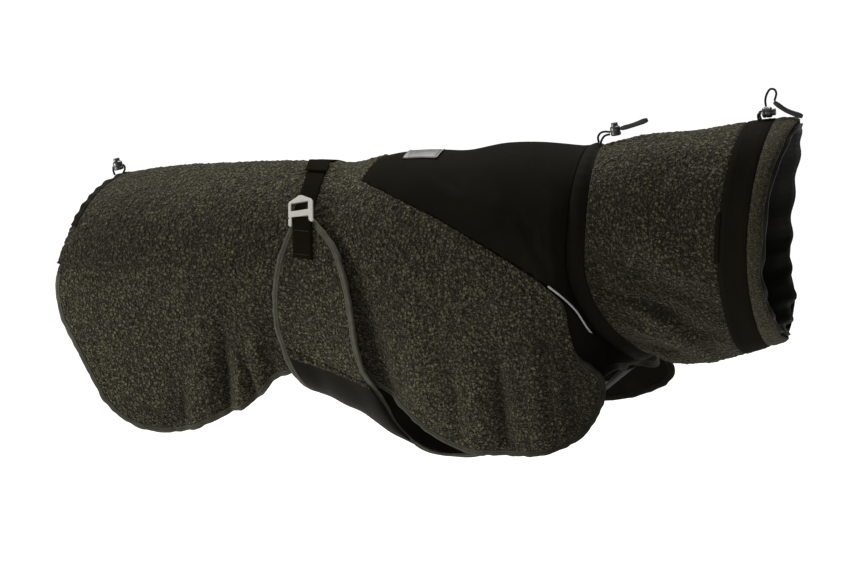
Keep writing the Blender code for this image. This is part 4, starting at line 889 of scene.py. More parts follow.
# The cord lock's radius and height, up from its foot, with a waist ring that breaks the barrel.
LOCK = outline(
    *(0.3, 0, 4.2, 0, 5.2, 1.0, 5.2, 3.0, 4.8, 3.3, 4.8, 4.1),
    *(5.2, 4.4, 5.2, 8.4, 4.2, 9.4, 3.4, 9.6, 3.4, 13.0, 0.3, 13.0),
)
LOCK_SIDES, LOCK_BEVEL = 48, 0.6 * MM
Draw = namedtuple("Draw", "name foot axis runs end")
DRAWS = (
    Draw(
        "tail",
        (-232.5, -1, -18.2),
        (-0.28, 0, 1),
        (
            ((-239.4, 2, -24.6), (-240.6, 1.6, -21.5), (-240.6, 0.6, -18.0), (-239.9, -0.2, -15.1)),
            ((-227, -3, -21.1), (-225.4, -2.6, -17.6), (-225.5, -1.8, -14.6), (-227.6, -1.2, -12.0)),
        ),
        (),
    ),
    Draw(
        "neck",
        (318.6, -1, 47.6),
        (-0.2, 0, 1),
        (
            ((299.6, 3, 38.8), (298.6, 3, 44.2), (301.4, 2, 48.8), (306.4, 0.8, 50.6), (312.1, -0.4, 50.7)),
            ((303.0, -3.4, 38.3), (304.4, -3.4, 43.0), (307.6, -3.2, 47.2), (312.6, -3.2, 48.8)),
        ),
        ((323.0, -1.4, 54.8), (335, -2.4, 58.8), (351, -3.5, 65.4)),
    ),
    Draw(
        "collar",
        (465.2, -1, 77.6),
        (1, 0, 0.12),
        (
            ((462.9, 3.6, 70.4), (461.6, 3.4, 74.0), (461.6, 2.4, 77.4), (464.1, 1.0, 78.7)),
            ((463.1, -5.6, 70.2), (461.8, -5.4, 73.6), (461.9, -4.4, 76.4), (464.3, -3.2, 77.3)),
        ),
        ((476.0, -1.2, 88.6), (488, -2, 81.4), (505, -3, 76.0)),
    ),
)
LOOP = table(
    3,
    *(468.4, -1, 83.6, 467.6, -1.2, 90, 469.2, -1.4, 96.6, 472.8, -1.6, 101.2),
    *(476.4, -1.6, 100.8, 478.2, -1.4, 97, 477.4, -1.2, 92.8, 476.6, -1.2, 89.9),
)
END_WIDTH, END_THICK, END_STEPS = 5.5 * MM, 3.0 * MM, 24
END_SIZES = (0.75, 0.9, 0.85, 0.85, 0.9, 1.0, 0.85)


def tube(name, route):
    """A cord along a route in mm."""
    route = np.array(route) * MM
    line = sampled(route, max(16, int(run_of(route)[-1] / CORD_PACE)))
    along = unit(np.gradient(line, axis=0))
    side = np.cross(along[0], (0.3, 1.0, 0.1))
    sections = []
    for middle, way in zip(line, along):
        side = unit(side - way * (side @ way))
        sections.append(middle + CORD / 2 * circle(CORD_SIDES, side, np.cross(way, side)))
    return add_sweep(name, sections, CORD_YARN)


def bevelled(profile, radius):
    """A turned profile whose corners are cut back."""
    points = [profile[0]]
    for a, b, c in zip(profile, profile[1:], profile[2:]):
        near, far = np.linalg.norm(b - a), np.linalg.norm(c - b)
        cut = min(radius, 0.4 * near, 0.4 * far)
        start, end = b + (a - b) * cut / near, b + (c - b) * cut / far
        points += [start, (start + end) / 4 + b / 2, end]
    return points + [profile[-1]]


def build_lock(draw):
    up = unit(np.array(draw.axis, float))
    side = unit(np.cross(up, (0.0, 1.0, 0.0)))
    ring = circle(LOCK_SIDES, side, np.cross(up, side))
    foot = np.array(draw.foot) * MM
    sections = [foot + up * height + ring * radius for radius, height in bevelled(LOCK, LOCK_BEVEL)]
    dress(add_sweep(f"lock_{draw.name}_cast", sections, LOCK_PLASTIC), "lock_plastic", f"lock_{draw.name}")


def build_cord_end(draw):
    """The flat moulded end, thicker at its root and its tip, with a raised rim."""
    middles = sampled(np.array(draw.end) * MM, END_STEPS)
    along = unit(np.gradient(middles, axis=0))
    at = np.linspace(0, 1, END_STEPS + 1)
    sizes = np.interp(at, np.linspace(0, 1, len(END_SIZES)), END_SIZES)
    sizes[[0, -1]] *= 0.72
    sizes[[1, -2]] *= 0.93
    angles = round_angles(20)
    wide, tall = [np.sign(part) * np.abs(part) ** 0.6 for part in (np.cos(angles), np.sin(angles))]
    sections = []
    for middle, way, size in zip(middles, along, sizes):
        flat = np.cross(way, (0.0, 1.0, 0.0))
        across = np.cross(way, flat)
        shape = np.outer(wide * size * END_WIDTH / 2, flat) + np.outer(tall * size * END_THICK / 2, across)
        sections.append(middle + shape)
    dress(add_sweep(f"cord_end_{draw.name}_cast", sections, END_PLASTIC), "cord", f"cord_end_{draw.name}")


def build_draws():
    for draw in DRAWS:
        build_lock(draw)
        for number, route in enumerate(draw.runs, 1):
            node = f"cord_{draw.name}_{number}"
            dress(tube(f"{node}_yarn", route), "cord", node)
        if draw.end:
            build_cord_end(draw)
    loop = tube("cord_loop_yarn", LOOP)
    route = [tuple(float(value) * MM for value in point) for point in LOOP]
    dress(loop, "cord", "cord_loop")


build_draws()

# The back panel. Its rows and columns count the fine steps of each half.

BACK_STEPS, BACK_COARSE = 10, 2
ROWS_ABOVE_TIP, BACK_ROWS, REAR_COLUMNS, FRONT_COLUMNS = [BACK_STEPS * n for n in (2, 12, 17, 16)]
PLAIN_ROWS, FRONT_BINDING_END, RUFFLE_ROWS = 50, 70, 26
OVER_SEAM = 3.2 * MM
HEM_BINDING_OVER, ELASTIC_OVER, CHEST_BINDING_OVER, WING_BINDING_OVER = 0.6 * MM, 0.7 * MM, 0.4 * MM, 0.5 * MM
HEM_TAPER, HEM_STEP, ELASTIC_STEP = 16 * MM, 1.6 * MM, 0.9
RUFFLE_WAVE, RUFFLE_CALM = 13.0, 9
MOST_RELIEF, SHADE_PER_MM = 1.25 * MM, 0.105
DART = outline(-266, -108, -235, -106, -200, -103, -165, -99.5, -130, -97)


def back_half(side):
    """Stations and girths of one side: columns from the tail to the shoulder flap, rows from the ridge down."""
    ridge_x = np.linspace(REAR_RIDGE, YOKE_RIDGE - HALF_SEAM, REAR_COLUMNS + 1)
    ridge = pairs(ridge_x, 0.0)
    first = [REAR_RIDGE, BODY.base(REAR_RIDGE, 0.0)[2]]
    rear = BODY.locate(sampled(np.vstack([first, REAR_EDGE]), BACK_ROWS), side)
    rear[0] = ridge[0]
    hem = BODY.locate(sampled(HEMS[side], REAR_COLUMNS), side)
    tip = BODY.locate(YOKE_TIP - HALF_SEAM, side)
    below_rows = BACK_ROWS - ROWS_ABOVE_TIP
    above = ridge[-1] + (tip - ridge[-1]) * np.linspace(0, 1, ROWS_ABOVE_TIP + 1)[:-1, None]
    middle = np.concatenate([above, tip + (hem[-1] - tip) * np.linspace(0, 1, below_rows + 1)[:, None]])
    rear_half = filled(ridge, hem, rear, middle)
    seam = BODY.locate(moved_left(sampled(YOKE_SEAM, FRONT_COLUMNS), -HALF_SEAM), side)
    flap_hem = BODY.locate(sampled(FRONT_HEMS[side], FRONT_COLUMNS), side)
    front = BODY.locate(sampled(FRONT_EDGES[side], below_rows), side)
    seam[0], flap_hem[0] = tip, hem[-1]
    seam[-1], flap_hem[-1] = front[0], front[-1]
    front_half = filled(seam, flap_hem, middle[ROWS_ABOVE_TIP:], front)[1:]
    grid = np.empty((REAR_COLUMNS + FRONT_COLUMNS + 1, BACK_ROWS + 1, 2))
    grid[: REAR_COLUMNS + 1] = rear_half
    grid[REAR_COLUMNS + 1 :, ROWS_ABOVE_TIP:] = front_half
    grid[REAR_COLUMNS + 1 :, :ROWS_ABOVE_TIP] = front_half[:, :1]
    return grid


def hem_cells():
    """Grid places of the rear edge, the hem and the front edge of one side, and of a point behind each."""
    columns, last = REAR_COLUMNS + FRONT_COLUMNS, BACK_ROWS
    cells = [(0, j, 1, j) for j in range(PLAIN_ROWS, last)]
    cells += [(i, last, i, last - 1) for i in range(columns + 1)]
    cells += [(columns, j, columns - 1, j) for j in range(last - 1, FRONT_BINDING_END, -1)]
    return np.array(cells).T


def pile_relief(points, edge, depth=2.8 * MM, roll=4.0 * MM, size=4.8 * MM):
    """How far the curls stand above the mean pile at each point, and the share of a full curl there."""
    curl = curl_height(points, size)
    near = step_up(distance_to(points, edge) / roll)
    height = np.minimum(depth * (curl - 0.42) + 0.7 * MM * swing(points, 34 * MM, 77), MOST_RELIEF)
    return near * height - (1 - near) * 0.5 * MM, curl * (0.35 + 0.65 * near)


def dart_height(points):
    """Each point's height above the haunch seam's line, and how much of the seam is left there."""
    seen_x = np.clip(points[..., 0], DART[0, 0], DART[-1, 0])
    height = points[..., 2] - np.interp(seen_x, DART[:, 0], DART[:, 1])
    return height, step_up((DART[-1, 0] - points[..., 0]) / (45 * MM))


def dart_relief(points):
    """The haunch seam: a sharp step down on its lower side, a soft shoulder above it."""
    height, fade = dart_height(points)
    above = np.where(height > 0, np.exp(-height / (14 * MM)), 0) * 1.5 * MM
    below = np.where(height <= 0, np.exp(height / (5 * MM)), 0) * -1.7 * MM
    return fade * (above + below) * np.where(points[..., 1] < 0, 1.0, 0.9)


def dart_shade(points):
    """Painted shade: a darker line where the pile lies matted and shaded along the haunch seam, and darker cloth
    above it.
    """
    height, fade = dart_height(points)
    shade_above = np.where(height > 0, np.exp(-np.abs(height) / (60 * MM)), 0)
    return -fade * (1.5 * bell(height / (1.5 * MM)) + 0.22 * shade_above)


def hollow_shade(base):
    """Painted shade and light from the folds, added to a curl's share: less in a trough, as its shade, and more on
    a ridge, as its light.
    """
    height = (fold_height(base, FOLDS) + fold_height(base, CREASES)) / MM
    return SHADE_PER_MM * np.clip(height, -6, 3)


def painted_panel_shading(points):
    """Painted light and shade, changing slowly over the panel: paler down at the rear hem, as painted light, and
    darker over the haunch and by the chest, as painted shade.
    """
    x, z = points[..., 0], points[..., 2]
    rear = step_up((-0.17 - x) / 0.09) * step_up((-0.15 - z) / 0.1)
    haunch = step_up((-0.1 - x) / 0.1) * step_up((z + 0.12) / 0.06)
    chest = step_up((x - 0.225) / 0.07) * step_up((-0.08 - z) / 0.08)
    return 0.22 * rear - 0.16 * haunch - 0.42 * chest


def painted_collar_shade(points):
    """Painted shade on the collar: darker on its sides and more so underneath."""
    z = points[..., 2]
    return -0.24 * step_up((0.05 - z) / 0.06) - 0.24 * step_up((-0.04 - z) / 0.08)


def spread_over_seam(outer):
    """The pile hangs unevenly over the yoke's edge, whose cloth is thinner."""
    for way in (-1, 1):
        row = BACK_ROWS + way * ROWS_ABOVE_TIP
        line, behind = outer[REAR_COLUMNS:, row], outer[REAR_COLUMNS:, row + way * 3]
        away = unit(line - behind)
        reach = OVER_SEAM * (0.35 + 0.65 * curl_height(line, 3.2 * MM))
        for back, share in enumerate((1.0, 0.8, 0.5, 0.2)):
            outer[REAR_COLUMNS:, row + way * back] += away * (reach * share)[:, None]


def plain_edge(points):
    """Between the tail's ruffle and the hem tape the pile itself makes the edge, level with both."""
    points = points.copy()
    first, last = RUFFLE_ROWS, PLAIN_ROWS
    run = np.arange(first - 3, last + 4)
    ends = (0, ELASTIC_TRIM - 0.4 * MM, HEM_TRIM - 0.4 * MM, 0)
    reach = np.interp(run, (first - 3, first, last, last + 3), ends)
    for way in (-1, 1):
        rows = BACK_ROWS + way * run
        away = unit(points[0, rows] - points[3, rows])
        for column, share in enumerate((1.0, 0.8, 0.6, 0.4, 0.2)):
            points[column, rows] += away * (share * reach)[:, None]
    return points


def over_seam(i, j):
    """Whether a coarse cell of the back lies above the yoke's seam, where the yoke takes over."""
    column, row = i * BACK_COARSE, j * BACK_COARSE
    return column >= REAR_COLUMNS and -ROWS_ABOVE_TIP <= row - BACK_ROWS < ROWS_ABOVE_TIP


def build_back_panel():
    halves = {name: back_half(side) for name, side in SIDES}
    grid = np.concatenate([halves["right"][:, ::-1], halves["left"][:, 1:]], axis=1)
    inner, plain = BODY.skin(grid, 0.0, 1.0), BODY.skin(grid, PILE, 1.0)
    cells = hem_cells()
    edges, paths = [], {}
    for name, half in halves.items():
        at, behind = half[cells[0], cells[1]], half[cells[2], cells[3]]
        paths[name] = BODY.skin(at, 0.0, 1.0), BODY.skin(at, PILE, 1.0), BODY.skin(behind, 0.0, 1.0)
        edges += [paths[name][1], BODY.skin(half[0], PILE, 1.0)]
    relief, curl = pile_relief(plain, np.concatenate(edges))
    relief = relief + dart_relief(plain)
    # The curl's share also carries the painted shade and light of the folds, the haunch seam and the panel.
    curl = curl + hollow_shade(BODY.base(grid[..., 0], grid[..., 1])) + dart_shade(plain) + painted_panel_shading(plain)
    outer = plain + unit(plain - inner) * relief[..., None]
    spread_over_seam(outer)
    inner, outer = plain_edge(inner), plain_edge(outer)
    made = add_shell("back_pile", inner, outer, [PILE_CLOTH, BACKING], False, BACK_COARSE, over_seam, curl, grid)
    dress(made, "pile", "back_panel", flat=(0.66, 0.62), held="gathered", area=0.276)
    for name, path in paths.items():
        line, high, inside = resampled(HEM_STEP, *path)
        taper = np.interp(np.arange(len(line))[::-1] * HEM_STEP, (0, HEM_TAPER), (0.25, 1))
        width, over = (HEM_TRIM + TUCK) * taper, HEM_BINDING_OVER * taper
        sections = edge_sections(line, high, inside, width, over, 0.5, 11)
        dress(add_sweep(f"hem_tape_{name}", sections, HEM_TAPE), "binding", f"hem_binding_{name}")
        ups = high - line
        rows = high + unit(ups) * 0.25 * MM + unit(line - inside) * 1.3 * MM
        add_stitches(f"hem_stitches_{name}", "binding", rows, ups, DARK_THREAD)
    build_elastic(halves["right"], halves["left"])


def build_elastic(right, left):
    """The tail's elastic: a smooth band drawn up into a few uneven ruffles."""
    places, behind = [
        np.concatenate([right[column, RUFFLE_ROWS::-1], left[column, 1 : RUFFLE_ROWS + 1]]) for column in (0, 1)
    ]
    path = BODY.skin(places), BODY.skin(places, PILE), BODY.skin(behind)
    low, high, inside = resampled(ELASTIC_STEP * MM, *path)
    sections = edge_sections(low, high, inside, ELASTIC_TRIM + TUCK, ELASTIC_OVER)
    run = np.arange(len(low)) * ELASTIC_STEP
    calm = np.clip(np.minimum(run, run[-1] - run) / RUFFLE_CALM, 0, 1)[:, None]
    phase = FULL_TURN * run / RUFFLE_WAVE + 2.4 * np.sin(run / 23) + 1.1 * np.sin(run / 9.5 + 1)
    ruffle = np.sin(phase) * (0.3 + 1.0 * soft_noise(low, 20 * MM, 5))
    reach = calm * np.linalg.norm(sections - sections[:, :1], axis=2) / ELASTIC_TRIM
    sections = sections + unit(high - low)[:, None] * (ruffle[:, None] * reach * 0.9 * MM)[..., None]
    away = unit(sections[:, 5] - (low + high) / 2)
    sections = sections + away[:, None] * ((0.4 + np.cos(phase))[:, None] * reach * 0.5 * MM)[..., None]
    dress(add_sweep("rear_ruffle", sections, ELASTIC_CLOTH), "elastic", "rear_elastic")


build_back_panel()

# The yoke, the chest and the piping.

YOKE_STEPS = 6
PIPING_ABOVE, PIPING_WIDTH, PIPING_THICK = 2.2 * MM, 2.1 * MM, 1.1 * MM
PIPING_ON_PILE, PIPING_END_SHARE, PIPING_DROP = 0.3, 0.85, 8.5 * MM
CHEST_TUCK, CHEST_ALLOWANCE = 1.4 * MM, 3.0 * MM
CHEST_HEM = table(3, 336, -77, -171, 341, -45, -174, 345, 0, -180, 350, 45, -192) * MM
CHEST_COLUMNS, CHEST_STEPS = 3, 5
CHEST_SIDE_STEPS = YOKE_COLUMNS - YOKE_ON_BACK


def neck_base_out(turn):
    return unit(SHOULDERS.outward(YOKE_END, turn) + NECK.outward(0.0, turn))


def chest_seam(side, count):
    """Points from the yoke's corner to the neck, and at each the way out of the cloth and the way down."""
    place = BODY.locate(YOKE_CORNER, side)
    line = [BODY.skin(place), *CHEST_SEAM * (1, side, 1), NECK.at_turn(0.0, side * YOKE_END_TURN)]
    line = sampled(line, count)
    first, last = BODY.outward(place[0], BODY.turn(*place)), neck_base_out(side * YOKE_END_TURN)
    thick = unit(first + (last - first) * np.linspace(0, 1, count + 1)[:, None])
    down = unit(np.cross(np.gradient(line, axis=0), thick))
    return line, thick, down * -np.sign(down[:, 2:])


def yoke_rear(side):
    columns, rows = YOKE_ON_BACK * YOKE_STEPS, YOKE_ROWS * YOKE_STEPS
    ridge_x = np.linspace(YOKE_RIDGE + HALF_SEAM, YOKE_END, YOKE_COLUMNS * YOKE_STEPS + 1)[: columns + 1]
    ridge = pairs(ridge_x, 0.0)
    lower = BODY.locate(moved_left(sampled(YOKE_SEAM, columns), HALF_SEAM), side)
    lower[0] = BODY.locate(YOKE_TIP + HALF_SEAM, side)
    share = np.linspace(0, 1, rows + 1)[:, None]
    rear, front = [ridge[end] + (lower[end] - ridge[end]) * share for end in (0, -1)]
    return filled(ridge, lower, rear, front)


def yoke_half(side):
    places = yoke_rear(side)
    rear, rear_outer = BODY.skin(places, 0.0, 1.0), BODY.skin(places, WOVEN, 1.0)
    columns = CHEST_SIDE_STEPS * YOKE_STEPS
    start = places[-1, 0, 0]
    stations = start + (YOKE_END - NECK_GAP - start) * np.arange(columns + 1) / columns
    ridge = SHOULDERS.turned(stations, 0.0, 0.0, 1.0)
    line, thick, _ = chest_seam(side, columns)
    line[0] = rear[-1, -1]
    turns = side * YOKE_END_TURN * np.linspace(0, 1, YOKE_ROWS * YOKE_STEPS + 1)
    neck = NECK.at_turn(-NECK_GAP, turns)
    line[-1], ridge[-1] = neck[-1], neck[0]
    inner = np.concatenate([rear, filled(ridge, line, rear[-1], neck)[1:]])
    outer = inner + WOVEN * outward_of(inner, np.array([0.2, 0.0, -0.1]))
    outer[: len(rear)] = rear_outer
    outer[len(rear) :, -1] = inner[len(rear) :, -1] + WOVEN * thick[1:]
    outer[-1] = inner[-1] + WOVEN * neck_base_out(turns)
    outer[:, 0, 1] = 0.0
    return inner, outer


def build_yoke():
    halves = yoke_half(1), yoke_half(-1)
    inner, outer = [np.concatenate([one[:, ::-1], two[:, 1:]], axis=1) for one, two in zip(*halves)]
    from_border = distance_to(outer, np.concatenate([outer[0], outer[:, 0], outer[:, -1]]))
    # Small puckers die away from the seams, and the edges sink under the pile beside them.
    relief = np.exp(-from_border / (11 * MM)) * 0.7 * MM * 2 * swing(outer, 9 * MM, 3)
    relief = relief + 1.1 * MM * swing(outer, 26 * MM, 21) - np.exp(-from_border / (2.5 * MM)) * 0.5 * MM
    outer = outer + unit(outer - inner) * relief[..., None]
    run = np.cumsum(np.linalg.norm(np.diff(inner, axis=0, prepend=inner[:1]), axis=2), axis=0)
    down = np.cumsum(np.linalg.norm(np.diff(inner, axis=1, prepend=inner[:, :1]), axis=2), axis=1)
    surfaces = [WOVEN_CLOTH, BACKING]
    made = add_shell("yoke_cloth", inner, outer, surfaces, False, YOKE_STEPS // 2, uvs=pairs(run, down))
    dress(made, "woven", "yoke", flat=(0.25, 0.27), held="stretched", area=0.058)
    for name, side in SIDES:
        line, thick, down = [part[3:-3] for part in chest_seam(side, 64)]
        lows = np.interp(np.linspace(0, 1, len(line)), (0, PIPING_ON_PILE), (PILE + LAY, WOVEN + LAY))[:, None]
        drop = PIPING_DROP * np.clip(np.linspace(-0.8, 1, len(line)), 0, 1) ** 2
        plumb = unit(thick * thick[:, 2:] - np.array([0, 0, 1.0]))
        low = line + plumb * drop[:, None] - down * PIPING_ABOVE + thick * lows
        angles, thin = round_angles(14), np.linspace(1.0, PIPING_END_SHARE, len(line))[:, None]
        wide, tall = PIPING_WIDTH / 2 * np.cos(angles) * thin, PIPING_THICK * (0.5 + 0.5 * np.sin(angles)) * thin
        sections = low[:, None] + down[:, None] * wide[..., None] + thick[:, None] * tall[..., None]
        dress(add_sweep(f"piping_{name}_film", sections, PIPING_FILM), "reflective", f"piping_{name}")


def build_chest():
    k = CHEST_STEPS
    upper, lower, thick = [], [], []
    for _, side in SIDES:
        seam, seam_thick, down = chest_seam(side, CHEST_SIDE_STEPS * k)
        flap = sampled(FRONT_EDGES[side][:5], CHEST_SIDE_STEPS * k)[k:]
        lower.append(BODY.skin(BODY.locate(flap - (CHEST_ALLOWANCE, 0), side), -CHEST_TUCK - WOVEN))
        upper.append((seam + down * 2 * NECK_GAP)[k:-k])
        thick.append(seam_thick[k:-k])
    count = NECK_SIDES - 2 * YOKE_ROWS
    turns = np.linspace(YOKE_END_TURN, FULL_TURN - YOKE_END_TURN, count * k + 1)
    across = NECK.at_turn(-2 * NECK_GAP, turns)
    # The seam's last stretch is a straight run to the neck, on each side.
    join = [np.linspace(part[-1], end, k + 1)[1:-1] for part, end in zip(upper, (across[0], across[-1]))]
    join_thick = [np.repeat(part[-1:], k - 1, axis=0) for part in thick]
    top = np.concatenate([upper[0], join[0], across, join[1][::-1], upper[1][::-1]])
    thick = np.concatenate([thick[0], join_thick[0], neck_base_out(turns), join_thick[1], thick[1][::-1]])
    sides = len(upper[0]) + k - 1
    middle = sampled([lower[0][-1], *CHEST_HEM, lower[1][-1]], len(turns) + 1)[1:-1]
    low = np.concatenate([lower[0][:sides], middle, lower[1][:sides][::-1]])
    share = np.linspace(0.0, 1.0, CHEST_COLUMNS * k + 1)[None, :, None]
    grid = top[:, None] * (1 - share) + low[:, None] * share
    normal = outward_of(grid, np.array([0.25, 0.0, -0.1]))
    normal[:, 0] = thick
    soft = step_up(np.minimum(share, 1 - share)[..., 0] * 5)
    outer = grid + normal * (WOVEN + soft * 0.9 * MM * swing(grid, 16 * MM, 31))[..., None]
    made = add_shell("chest_cloth", grid, outer, [WOVEN_CLOTH, BACKING], False, k, uvs=grid[..., [1, 2]])
    dress(made, "woven", "chest_panel", flat=(0.15, 0.07), held="draped", area=0.0074)
    hem = slice(sides, sides + len(middle))
    path = grid[hem, -1], outer[hem, -1], grid[hem, -2]
    sections = edge_sections(*path, HEM_TRIM + LAY + TUCK, CHEST_BINDING_OVER, 0.3, 12)
    dress(add_sweep("chest_hem_tape", sections, SHADED_CHEST_TAPE), "binding", "chest_hem_binding")


build_yoke()
build_chest()

# The collar.

COLLAR_ROWS, COLLAR_STEPS, COLLAR_COARSE = 9, 12, 4
CASING_STEPS, BAND_STEPS, EDGE_STEPS, FACING_STEPS = 6, 6, 8, 4
BAND_HIGHS, BAND_ROUND = (3.0 * MM, 3.8 * MM, 3.8 * MM, 3.0 * MM), 2.0 * MM
EDGE_HIGHS = (3.0 * MM, 4.0 * MM, 3.8 * MM, 2.4 * MM)
EDGE_ROUND_START, EDGE_ROUND_END = 4.0 * MM, 3.0 * MM
GATHERS, GATHER_DEPTH, GATHER_AT_RIDGE, PUFF = 17, 4.6 * MM, 0.35, 4.2 * MM
FACING_TUCK, FACING_THICK, FACING_BEND = 1.7 * MM, 1.2 * MM, 181 * MM
FACING_STATIONS, FACING_SHARES = (132 * MM, 158 * MM, FACING_BEND, RIM - 0.6 * MM), (0.0, 0.4, 1.0, 0.9)
JOIN_TURNS, JOIN_START, JOIN_END, JOIN_THICK = (72, 96), 3.8 * MM, 0.8 * MM, 1.0 * MM
NECK_AROUND = 70 * MM


def neck_grids(stations, highs, k):
    """Turns, stations, inner and outer points and UVs of a tube round the neck.

    It takes k steps to each step of the solid's.
    """
    turns, fine = round_angles(NECK_SIDES * k), refined(stations, k)
    inner = NECK.turned(fine[None, :], turns[:, None], 0.0, 1.0)
    outer = NECK.turned(fine[None, :], turns[:, None], refined(highs, k)[None, :], 1.0)
    return turns, fine, inner, outer, pairs(fine[None, :], (turns * NECK_AROUND)[:, None])


def rim_wave(turn):
    """How the mouth's rim waves in and out along X, drawn up by its cord."""
    wave = 1.5 * np.sin(5 * turn + 0.7) + 1.1 * np.sin(8 * turn + 2.0) + 0.7 * np.sin(13 * turn)
    return np.stack([wave * MM * (0.35 + 0.65 * np.sin(turn / 2) ** 2), 0 * turn, 0 * turn], axis=-1)[:, None]


def gather(turn):
    strength = GATHER_AT_RIDGE + (1 - GATHER_AT_RIDGE) * np.sin(turn / 2) ** 2
    return strength * (1 + np.cos(GATHERS * turn + 0.9 * np.sin(3 * turn))) / 2


def build_casing():
    """The neck's casing. The drawcord lies in a round channel, drawn into small gathers."""
    low, high = NECK_GAP, NECK_SEAM - 2 * SEAM
    turns, fine, inner, outer, uvs = neck_grids((low, (low + high) / 2, high), (WOVEN,) * 3, CASING_STEPS)
    share = (fine - low) / (high - low)
    channel = np.sin(math.pi * np.clip(share / 0.86, 0, 1)) ** 0.7 * (2.3 * MM)
    gathers = 0.5 + 0.5 * np.sin(turns * 46 + 2.2 * np.sin(3 * turns))
    swell = channel * (0.86 + 0.2 * gathers[:, None]) - 0.4 * MM * bell((share - 0.93) / 0.06)
    outer = outer + unit(outer - inner) * swell[..., None]
    outer[:, 0] = inner[:, 0] + WOVEN * neck_base_out(turns)
    made = add_shell("casing_cloth", inner, outer, [CASING_CLOTH, BACKING], True, CASING_STEPS, uvs=uvs)
    dress(made, "woven", "neck_casing", flat=(0.45, 0.026), held="gathered", area=0.0112)


def build_collar():
    stations = np.linspace(NECK_SEAM, BAND_START - SEAM, COLLAR_ROWS)
    turns, fine, inner, outer, uvs = neck_grids(stations, [PILE] * COLLAR_ROWS, COLLAR_STEPS)
    relief, curl = pile_relief(outer, np.concatenate([outer[:, 0], outer[:, -1]]), 2.0 * MM, 3.0 * MM)
    # The curl's share also carries the folds' painted shade and light and the collar's painted shade.
    curl = curl + hollow_shade(NECK.at_turn(fine[None, :], turns[:, None])) + painted_collar_shade(outer)
    outer = outer + unit(outer - inner) * relief[..., None]
    made = add_shell("collar_pile", inner, outer, [PILE_CLOTH, BACKING], True, COLLAR_COARSE, None, curl, uvs)
    dress(made, "pile", "collar", flat=(0.48, 0.16), held="gathered", area=0.076)


def build_band():
    k = BAND_STEPS
    stations = (BAND_START, BAND_START + BAND_ROUND, BAND_END - BAND_ROUND, BAND_END)
    _, fine, inner, outer, uvs = neck_grids(stations, BAND_HIGHS, k)
    soft = np.sin(math.pi * np.clip((fine - BAND_START) / (BAND_END - BAND_START), 0, 1))
    outer = outer + unit(outer - inner) * (soft * 1.4 * MM * swing(outer, 11 * MM, 51))[..., None]
    made = add_shell("band_cloth", inner, outer, [WOVEN_CLOTH, BACKING], True, k, uvs=uvs)
    dress(made, "woven", "collar_band", flat=(0.45, 0.04), held="stretched", area=0.018)
    for name, column in (("low", k + 1), ("high", len(fine) - k - 2)):
        line, up = [np.concatenate([part[:, column], part[:1, column]]) for part in (outer, outer - inner)]
        add_stitches(f"band_stitches_{name}", "woven", line, up, DARK_THREAD)


def build_mouth_edge():
    edge = (BAND_END + SEAM, BAND_END + EDGE_ROUND_START, RIM - EDGE_ROUND_END, RIM)
    turns, fine, inner, outer, uvs = neck_grids(edge, EDGE_HIGHS, EDGE_STEPS)
    relief, curl = pile_relief(outer, outer[:, -1], 0.7 * MM, 3.0 * MM, 3.2 * MM)
    relief = relief + 0.8 * MM * swing(outer, 13 * MM, 61)
    wave = ((fine - edge[0]) / (edge[-1] - edge[0]))[None, :, None] ** 2 * rim_wave(turns)
    inner, outer = inner + wave, outer + unit(outer - inner) * relief[..., None] + wave
    made = add_shell("edge_pile", inner, outer, [SMOOTH_PILE, BACKING], True, EDGE_STEPS, None, curl, uvs)
    dress(made, "pile", "collar_edge", flat=(0.45, 0.025), held="gathered", area=0.0108)


def build_facing():
    """The facing inside the collar's mouth, drawn into gathers at the rim."""
    k = FACING_STEPS
    turns = round_angles(4 * GATHERS * k)
    fine, share = refined(FACING_STATIONS, k), refined(FACING_SHARES, k)
    small = 0.5 * MM * share * np.sin(41 * turns + 2 * np.sin(5 * turns))[:, None]
    out = -FACING_TUCK - GATHER_DEPTH * gather(turns)[:, None] * share - np.abs(small)
    outer, inner = [NECK.turned(fine[None, :], turns[:, None], height) for height in (out, out - FACING_THICK)]
    # Between its gathers the facing puffs out a little past the rim.
    last = np.clip((fine - FACING_BEND) / (RIM - FACING_BEND), 0, 1)[None, :, None] ** 2
    wave = rim_wave(turns)
    wave[:, 0, 0] += PUFF * (1 - gather(turns))
    inner, outer = inner + last * wave, outer + last * wave
    uvs = pairs(fine[None, :], (turns * NECK_AROUND)[:, None])
    # The face that shows is the inner one, so it takes the fine step.
    made = add_shell("facing_cloth", outer, inner, [FACING_CLOTH], True, k, uvs=uvs)
    dress(made, "facing", "collar_facing", flat=(0.56, 0.065), held="gathered", area=0.0364)


def build_band_join():
    turns = np.radians(np.linspace(*JOIN_TURNS, 25))[:, None]
    stations = np.linspace(BAND_START - JOIN_START, BAND_START + JOIN_END, 13)[None, :]
    low = PILE + SEAM
    high = low + JOIN_THICK - 0.1 * MM + np.sin(np.linspace(0, math.pi, 13))[None, :] ** 0.5 * 0.3 * MM
    inner, outer = [NECK.turned(stations, turns, height, 1.0) for height in (low, high)]
    uvs = pairs(stations, turns * NECK_AROUND)
    made = add_shell("band_join_cloth", inner, outer, [WOVEN_CLOTH], False, 6, uvs=uvs)
    dress(made, "woven", "collar_band_join")


build_casing()
build_collar()
build_band()
build_mouth_edge()
build_facing()
build_band_join()

# The belly flap and its wings.

WING_FINE, WING_COLUMNS, WING_ROWS = 10, 50, 100
BELLY_FINE, BELLY_COLUMNS, BELLY_STEPS, WRAP_START, BELLY_ROUND = 8, 64, 160, 56, 0.8
